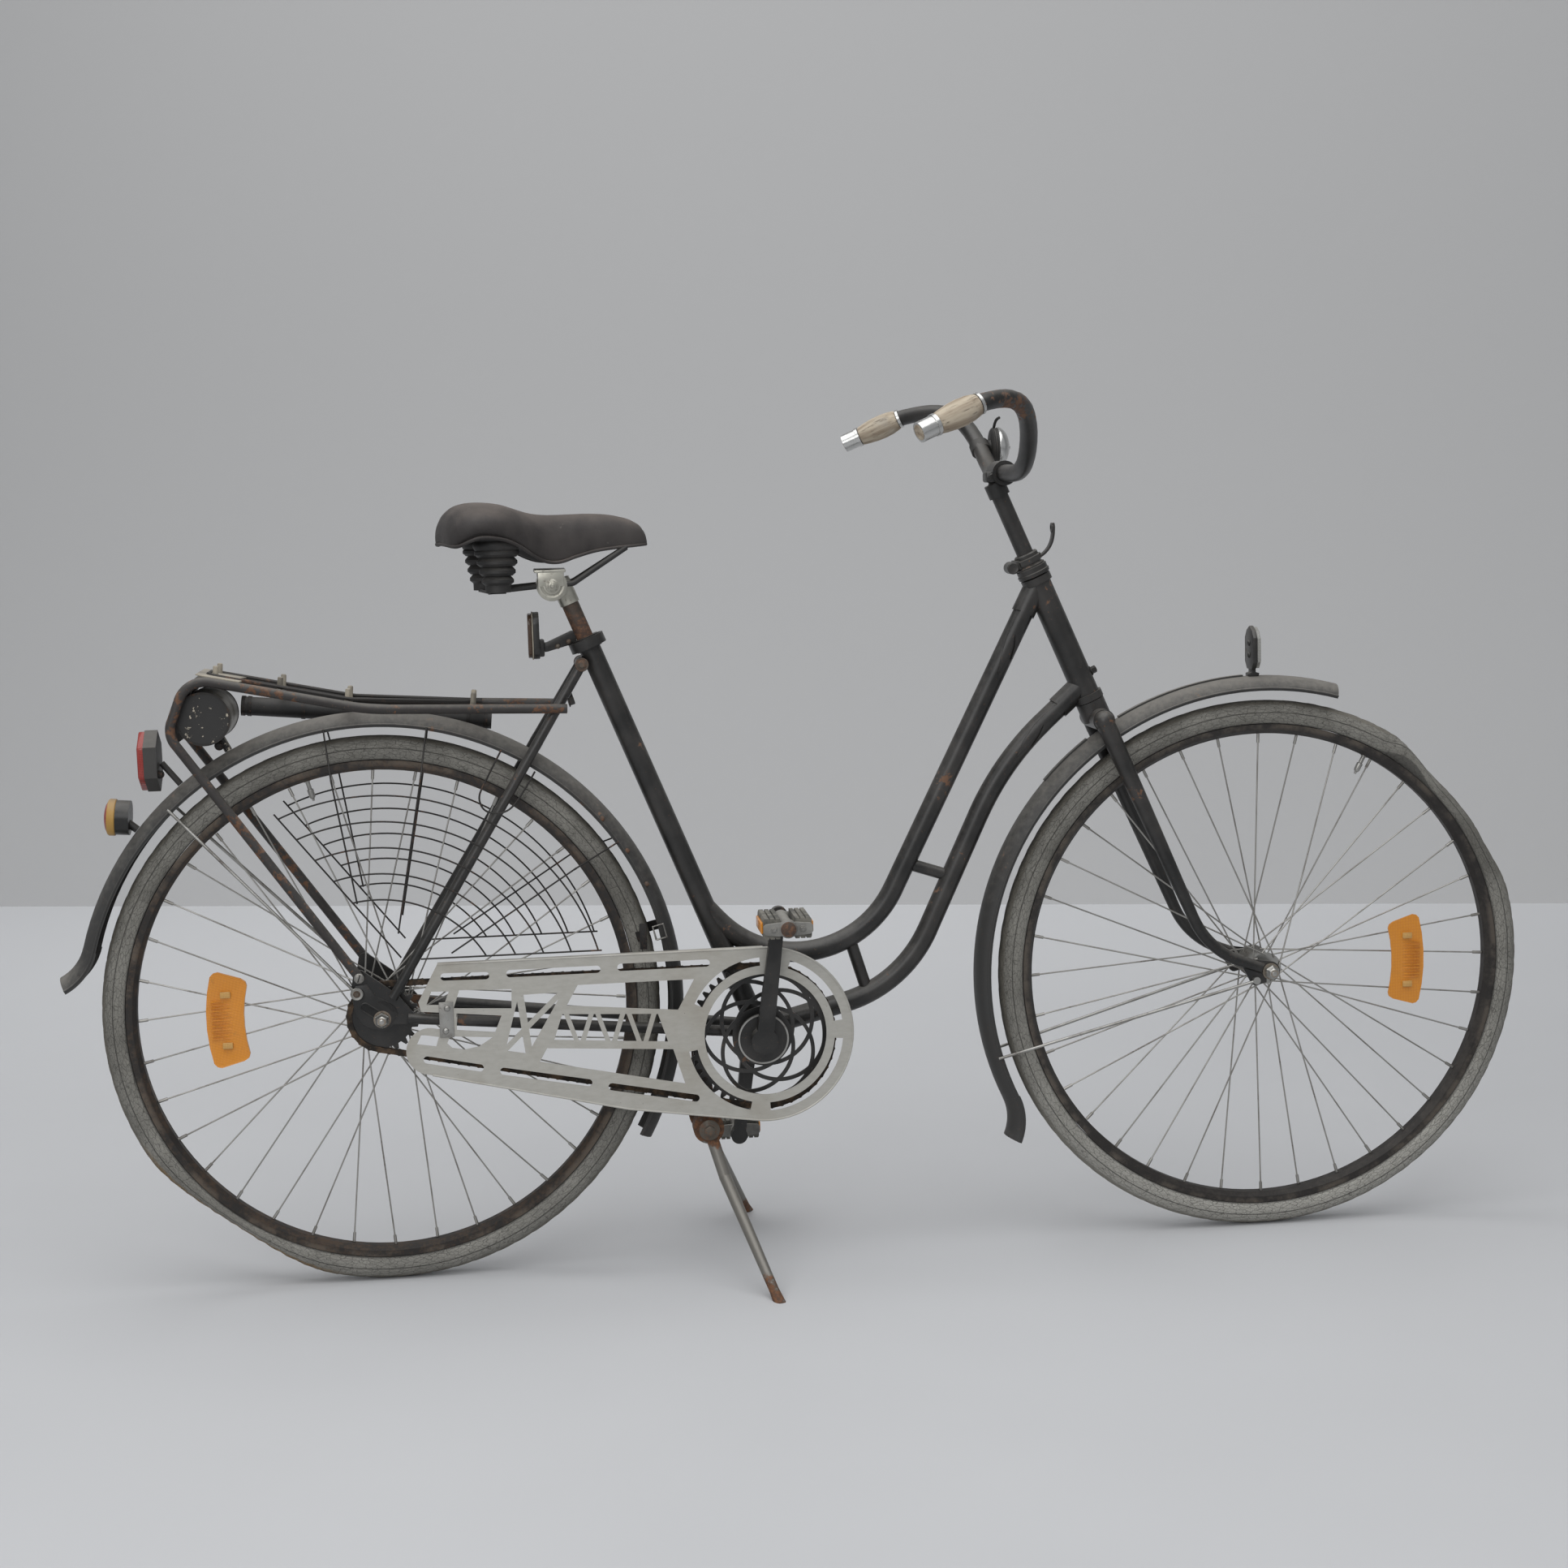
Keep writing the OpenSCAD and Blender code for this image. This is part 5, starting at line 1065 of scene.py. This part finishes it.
def carrier_posts():
    feet = [on_rail(t) for t in (0.12, 0.5, 0.86)] + [RAIL_FRONT + (RAIL_DIP - RAIL_FRONT) * 0.45]
    peg = [(2, 4.2), (5, 3.7), (16, 3.5), (18, 3.2), (18.8, 2)]
    posts = [turned("post", peg, foot + y * LEFT, (0.1, 0, 1), 14) for foot in feet for y in (-24, 24)]
    return together("carrier_posts", posts)


def can_rims():
    rims = [band("rim", CAN_AT + y * LEFT, RIGHT, FORWARD, 31.4, 3, 2.4, steps=48) for y in (-49.5, 49.5)]
    return together("can_rims", rims + bolt(CAN_AT + Vector((13, -6, -38)), RIGHT, 4.5, 5))


def pump_collars():
    along = Vector((332, 0, -32)).normalized()
    bar = on_rail(0.12) + Vector((0, 40, -16.3))
    collars = [band("collar", bar + along * s, along, LEFT, 11.6, 5, 1.4, steps=32)
               for s in (-136, -128, -60, 150, 172)]
    return together("pump_collars", collars)


dress(carrier_cover(), "cream", "frame", "grey_paint")
dress(carrier_posts(), "cream", "frame", "grey_paint")
dress(can_rims(), "dark_steel", "frame", "steel")
dress(pump_collars(), "dark_steel", "frame", "steel")


# Mudguards and frame: rolled lips, a leather strap, rivets, screws and nuts, fork ends and the net's hook

def lips(name, hub, crown, start, tail):
    """Rolled wires along both edges of a mudguard, turned outwards at its tail."""
    drop, bend, turn, steps = 15.65, 60, 48, 12
    centre = hub + (crown + bend) * ray(tail)
    runs = []
    for y in (-24.3, 24.3):
        path = arc(hub, crown - drop, y, start, tail, 90)
        path += arc(centre, bend + drop, y, tail + 180, tail + 180 - turn, steps)[1:]
        runs.append(wire("lip", path, 1.5, False))
    return together(name, runs)


def strap_pieces():
    out, along = ray(14), ray(104)
    middle = REAR_HUB + 360 * out
    turn = Matrix.Rotation(math.radians(-112), 3, along)
    strap = band("strap", middle, along, turn @ out, 27.2, 13, 2, 224, 40)
    side = middle + 8 * out + 28.4 * RIGHT
    tongue = block("tongue", side - 22 * out, (9, 2.4, 34), 0.8)
    corners = [(-9, -7), (9, -7), (9, 7), (-9, 7), (-9, -7)]
    loop = [side + a * along + u * out + 1.8 * RIGHT for a, u in corners]
    return together("mudguard_strap", [strap, tongue]), wire("strap_buckle", loop, 1.3, False)


def frame_rust():
    """Rivets, screws and eye rings that have gone brown."""
    parts = []
    for turn in (39.6, 31.5, 23.8):
        for off, out in sides(23.6):
            parts += screw(REAR_HUB + 374.5 * ray(turn) + off, out, 3.4)
    eye = SEAT_TOP - 29 * SEAT_DIR - 18 * SEAT_SIDE
    for off, out in sides(28):
        parts.append(turned("ring", [(-1, 8.4), (0.6, 8.8), (1.6, 8), (1.2, 6)], eye + off, out, 28))
        parts += bolt(eye + off + out, out, 4.6, 4)
    for place in (Vector((24, -4.4, -14.5)), Vector((38, -4.4, -9))):
        parts += screw(POST_LENS + place, RIGHT, 3.4)
    for off, out in sides(69):
        parts += bolt(STAY_EYE + off, out, 3.4, 4)
    return together("rusty_fixings", parts)


def fork_end_pieces():
    """Pressed plates over the rear fork ends, near-black sheets of painted shade over the axle slots in them
    and over a screw's nick, and the stays' plated screws.
    """
    cover = [(-32, 400), (-36, 387), (-35, 374), (-32, 362), (-25, 351), (-13, 344), (1, 342), (10, 348),
             (20, 362), (9, 378), (-7, 386), (-17, 402)]
    opening = [(-5, 379), (4, 380), (12, 375), (18, 369), (19, 364), (14, 365), (5, 373)]
    slot = []
    for middle, turn in ((Vector((-21, 0, 372.5)), 145), (Vector((3, 0, 355.5)), -35)):
        slot += arc(middle, 5.4, 0, turn + 90, turn - 90, 8)
    face = 63.3 * RIGHT
    plates = plate("cover", cover, 62.4 * RIGHT, FORWARD, UP, 1.2, 0.4)
    # painted shade: near-black sheets laid over the axle slots and the opening
    slots = [plate("slot", [p.xz for p in slot], face, FORWARD, UP, 0.5),
             plate("opening", opening, face, FORWARD, UP, 0.5)]
    lip = wire("lip", [p + 63.7 * RIGHT for p in slot + slot[:2]], 0.9, False)
    ring = [(-1, 6), (-1, 7.8), (1, 8), (1.8, 7), (1.4, 5)]
    eye = turned("eye", ring, STAY_EYE + 68.5 * RIGHT, RIGHT, 24)
    head = turned("head", [(-2, 6.4), (1.4, 6.4), (2.6, 5.2), (3, 2)], (-26, -74, 412), RIGHT, 20)
    # painted shade: a near-black sliver for the screw head's nick
    nick_at = Vector((-26, -76.8, 412))
    nick = block("nick", nick_at, (1.4, 0.8, 10), 0.2)
    there = Matrix.Translation(at(*nick_at))
    nick.data.transform(there @ Matrix.Rotation(math.radians(20), 4, "Y") @ there.inverted())
    for name, near, look in (("fork_end_plates", [plates, lip], "black_paint"),
                             ("fork_end_slot_shade", slots + [nick], "painted_shade"),
                             ("stay_screws", [eye, head], "steel")):
        one_side = together(name, near)
        both = together(name, [one_side, copied(one_side, "far", MIRROR)])
        dress(both, look, "frame", "steel" if look == "steel" else "black_paint")


def cap_nuts(name, hub, face):
    """Domed hexagon nuts on both ends of an axle; the face is where its washers end."""
    dome = [(0.2, 9.8), (8.2, 9.8), (9.6, 8.4), (12.6, 7.8), (15.2, 5.6), (16.6, 2.2)]
    return together(name, [turned("nut", dome, hub + off, out, 6) for off, out in sides(face)])


def frame_nuts():
    parts = []
    for y in (-44, 44):
        parts += bolt(RAIL_FRONT + Vector((14, y, 8)), (1, 0, 0.3), 5, 8)
    parts += bolt(HEAD_LOW + 34 * HEAD_DIR + 17 * HEAD_FRONT, HEAD_FRONT, 5, 8)
    parts += bolt(HEX_AT + Vector((2, -14, -16)), RIGHT, 4, 5)
    return together("frame_nuts", parts)


def net_hook():
    bends = [(164, 693), (140, 650), (132, 633), (140, 614), (167, 612), (186, 632), (205, 664)]
    return wire("net_hook", [(x, -67, z) for x, z in bends], 1.2)


dress(lips("rear_guard_lips", REAR_HUB, 387, -29, 165), "guard_paint", "frame", "black_paint")
dress(lips("front_guard_lips", FRONT_HUB, 389, 74, 205), "guard_paint", "steering", "black_paint")
strap, buckle = strap_pieces()
dress(strap, "leather", "frame", "vinyl")
dress(buckle, "steel", "frame", "steel")
dress(frame_rust(), "screws", "frame", "steel")
dress(frame_nuts(), "dark_steel", "frame", "steel")
fork_end_pieces()
dress(cap_nuts("rear_cap_nuts", REAR_HUB, REAR_FACE), "steel", "frame", "steel")
dress(cap_nuts("front_cap_nuts", FRONT_HUB, FRONT_FACE), "steel", "steering", "steel")
dress(net_hook(), "dark_steel", "frame", "steel")


# Steering: head rings, bar, lamp collar, stem bolts, bell and the grips' ends

def head_rings():
    low = HEAD_TOP + 1.5 * HEAD_DIR
    eye = low + 22 * HEAD_DIR - 24 * HEAD_FRONT
    lock = [(0, 18), (0.5, 21), (5, 21.6), (6, 20.4), (7, 20.4), (12, 20.6), (13, 18)]
    tube = [(0, 6), (1, 8), (25, 8), (26, 6.4), (25.4, 4.6)]
    parts = [turned("lock", lock, low, HEAD_DIR, 32),
             turned("nut", [(18, 17), (18.4, 19), (25, 19), (26, 17.4)], low, HEAD_DIR, 8),
             turned("eye", tube, eye + 13 * LEFT, RIGHT, 20),
             block("lug", eye + 9 * HEAD_FRONT, (14, 22, 12), 2)]
    return together("head_rings", parts)


def handlebar():
    """The bar's bends, drawn as one smooth run."""
    half = [GRIP_TIP.lerp(GRIP_ROOT, share) for share in (0, 0.3, 0.65, 0.86, 1)]
    half += [Vector(p) for p in ((-6, 222, 94), (10, 118, -3), (0, 40, 0), (0, 15, 0))]
    run = [BAR_CLAMP + Vector((x, -y, z)) for x, y, z in half]
    run += [BAR_CLAMP + p for p in half[::-1]]
    return wire("swept_bar", run, 11, order=4)


def lamp_collar():
    """The collar under the stem, with the empty lamp bracket bent up in front."""
    wall = [(0, 17), (0.8, 19), (15, 19), (16, 17.2), (17, 16), (30.5, 16), (32, 14.5)]
    sleeve = turned("sleeve", wall, HEAD_TOP + HEAD_DIR, HEAD_DIR, 36)
    base, steps = HEAD_TOP + 21.5 * HEAD_DIR, 16
    start, bend, top = base + 10 * HEAD_FRONT, Vector((893, 0, base.z + 15)), Vector((889, 0, 954))
    shares = [i / steps for i in range(steps + 1)]
    path = [start * (1 - t) ** 2 + bend * 2 * t * (1 - t) + top * t * t for t in shares]
    left, right = [], []
    for i, p in enumerate(path):
        run = path[min(i + 1, steps)] - path[max(i - 1, 0)]
        off = Vector((-run.z, 0, run.x)).normalized() * 1.6
        left.append((p + off).xz)
        right.append((p - off).xz)
    strip = plate("strip", left + right[::-1], 6 * LEFT, FORWARD, UP, 12, 0.5)
    eye = band("eye", top - 6 * UP, FORWARD, UP, 3.4, 4.2, 3, steps=24)
    return together("lamp_collar", [sleeve, strip, eye])


def stem_bolts():
    lug = BAR_CLAMP - 17 * HEAD_FRONT + 2 * UP
    parts = bolt(STEM_TOP + 5.5 * HEAD_DIR, HEAD_DIR, 7, 6) + bolt(lug + 14 * RIGHT, RIGHT, 5, 6)
    return together("stem_bolts", parts + [block("lug", lug, (14, 28, 14), 3)])


def bell_pieces():
    ribs = [(11, 7), (14, 10), (15, 24), (16.5, 26), (18, 25), (19.5, 26), (21, 25), (22.5, 26), (24, 25)]
    bowl = [(23, 26.6), (25, 27), (28, 26), (32, 23), (35.5, 18.5), (38, 12.5), (39.4, 6), (39.6, 4),
            (41, 3.6), (41.6, 1.6)]
    base = turned("bell_base", ribs, BELL_AT, FORWARD, 40)
    dome = turned("bell_dome", bowl, BELL_AT, FORWARD, 40)
    strap = band("strap", BELL_AT, (-16, 104, 97), FORWARD, 11.2, 14, 2.4, steps=32)
    thumb = [(19, 0, 24), (20, -4, 32), (22, -10, 38), (24, -16, 39)]
    lever = wire("lever", [BELL_AT + Vector(p) for p in thumb], 2)
    return together("bell_base", [base, strap, lever]), dome


def grip_plugs():
    """The wooden ends that show inside the ferrules."""
    plugs = []
    for side in (-1, 1):
        flip = Vector((1, side, 1))
        foot, along = BAR_CLAMP + GRIP_TIP * flip, (GRIP_TIP - GRIP_ROOT) * flip
        plugs.append(turned("plug", [(2, 9.6), (4.5, 9.6), (4.9, 8.8), (4.3, 6)], foot, along))
    return together("grip_plugs", plugs)


dress(grip_plugs(), "wood", "steering", "wood")
dress(head_rings(), "black_paint", "steering", "black_paint")
dress(stem_bolts(), "bar_paint", "steering", "black_paint")
dress(handlebar(), "bar_paint", "steering", "black_paint", replaces=["handlebar"])
dress(lamp_collar(), "black_paint", "steering", "black_paint", replaces=["fork_collar"])
base, dome = bell_pieces()
dress(base, "black_rubber", "steering", "black_paint")
dress(dome, "bright", "steering", "steel", replaces=["bell"])


# Wheels and stand: valves, hinge bolts

def valve(name, hub, turn):
    stem = [(0, 4.6), (2, 4.6), (2.6, 2.9), (12, 2.7), (12.4, 3.9), (14, 4.1), (22, 3.9), (24, 3.2),
            (25, 1.8), (28, 1.4)]
    return turned(name, stem, hub + 313 * ray(turn), -ray(turn), 16)


def stand_bolts():
    parts = []
    for off, out in sides(56):
        parts.append(turned("washer", [(-1, 13), (1, 13.6), (2, 12)], STAND_PIVOT + off, out, 28))
        parts += bolt(STAND_PIVOT + off + 1.6 * out, out, 7, 6)
    return together("stand_bolts", parts)


dress(valve("front_valve", FRONT_HUB, 62.1), "steel", "front_wheel", "steel")
dress(valve("rear_valve", REAR_HUB, 105.5), "steel", "rear_wheel", "steel")
dress(stand_bolts(), "screws", "stand", "steel")


# Stage, light and camera, in metres and degrees

STAGE_SIZE = 30
WALL_LEFT = Vector((-1.699, 3.267, 0))
WALL_RIGHT = Vector((2.036, 2.234, 0))
EYE_AT = (-0.38095, -3.16994, 1.01089)
EYE_PAN, EYE_TILT, EYE_ROLL = -6.33, -6.87, 1.67
EYE_LENS = 56.63


def stage():
    """A pale floor and a grey wall that shows from its front only, both with painted light: the floor lighter
    towards the wall, the wall lighter towards its foot.
    """
    fresh()
    bpy.ops.mesh.primitive_plane_add(size=STAGE_SIZE)
    floor = named("floor")
    f = Finish("pale_floor_painted_light")
    clouds = f.noise(1.2, 3)
    # painted light: the floor's colour grows lighter towards the wall
    back = f.step(f.split(f.coords())[1], 0.3, 3.2)
    shade = f.blend(back, f.blend(clouds, "bdbec0", "c6c7c9"), "e2e3e5")
    floor.data.materials.append(f.give(Base_Color=shade, Roughness=0.55 + clouds * 0.1))
    fresh()
    bpy.ops.mesh.primitive_plane_add(size=STAGE_SIZE, rotation=(math.pi / 2, 0, 0))
    wall = settle(named("wall"))
    run = WALL_RIGHT - WALL_LEFT
    turn = Matrix.Rotation(math.atan2(run.y, run.x), 4, "Z")
    wall.matrix_world = Matrix.Translation((WALL_LEFT + WALL_RIGHT) / 2) @ turn
    settle(wall)
    f = Finish("grey_wall_painted_light")
    height = f.split(f.coords())[2]
    behind = f.node("ShaderNodeNewGeometry", out=6)
    # painted light: the wall is lighter at its foot and darker higher up
    shade = f.blend(f.step(height, -0.2, 1.6), "c2c2c2", "b6b6b6")
    wall.data.materials.append(f.give(Base_Color=shade, Roughness=0.9, Alpha=1 - behind))


def lamp(name, place, aim, size, watts):
    fresh()
    bpy.ops.object.light_add(type="AREA", location=place)
    light = named(name)
    light.data.shape = "RECTANGLE"
    light.data.size, light.data.size_y = size
    light.data.energy = watts
    light.rotation_euler = (Vector(aim) - Vector(place)).to_track_quat("-Z", "Y").to_euler()


def camera():
    fresh()
    bpy.ops.object.camera_add()
    eye = named("photo_camera")
    turn = Matrix.Identity(3)
    for angle, axis in ((EYE_PAN, "Z"), (EYE_TILT, "X"), (EYE_ROLL, "Y")):
        turn = turn @ Matrix.Rotation(math.radians(angle), 3, axis)
    right, forward, up = turn.col
    look = Matrix((right, up, -forward)).transposed().to_4x4()
    eye.matrix_world = Matrix.Translation(EYE_AT) @ look
    eye.data.sensor_width = 36
    eye.data.lens = EYE_LENS
    bpy.context.scene.camera = eye


stage()
lamp("ceiling_panel", (-0.4, -0.6, 3.6), (0, 0, 0.3), (5.0, 4.0), 118)
lamp("front_panel", (-1.6, -3.8, 2.2), (0, 0, 0.5), (2.5, 2.0), 40)
world = bpy.data.worlds.new("soft_room")
bpy.context.scene.world = world
world.use_nodes = True
sky = world.node_tree.nodes["Background"]
sky.inputs["Color"].default_value = (0.92, 0.94, 0.97, 1)
sky.inputs["Strength"].default_value = 0.44
camera()
bpy.context.scene.view_settings.view_transform = "Standard"
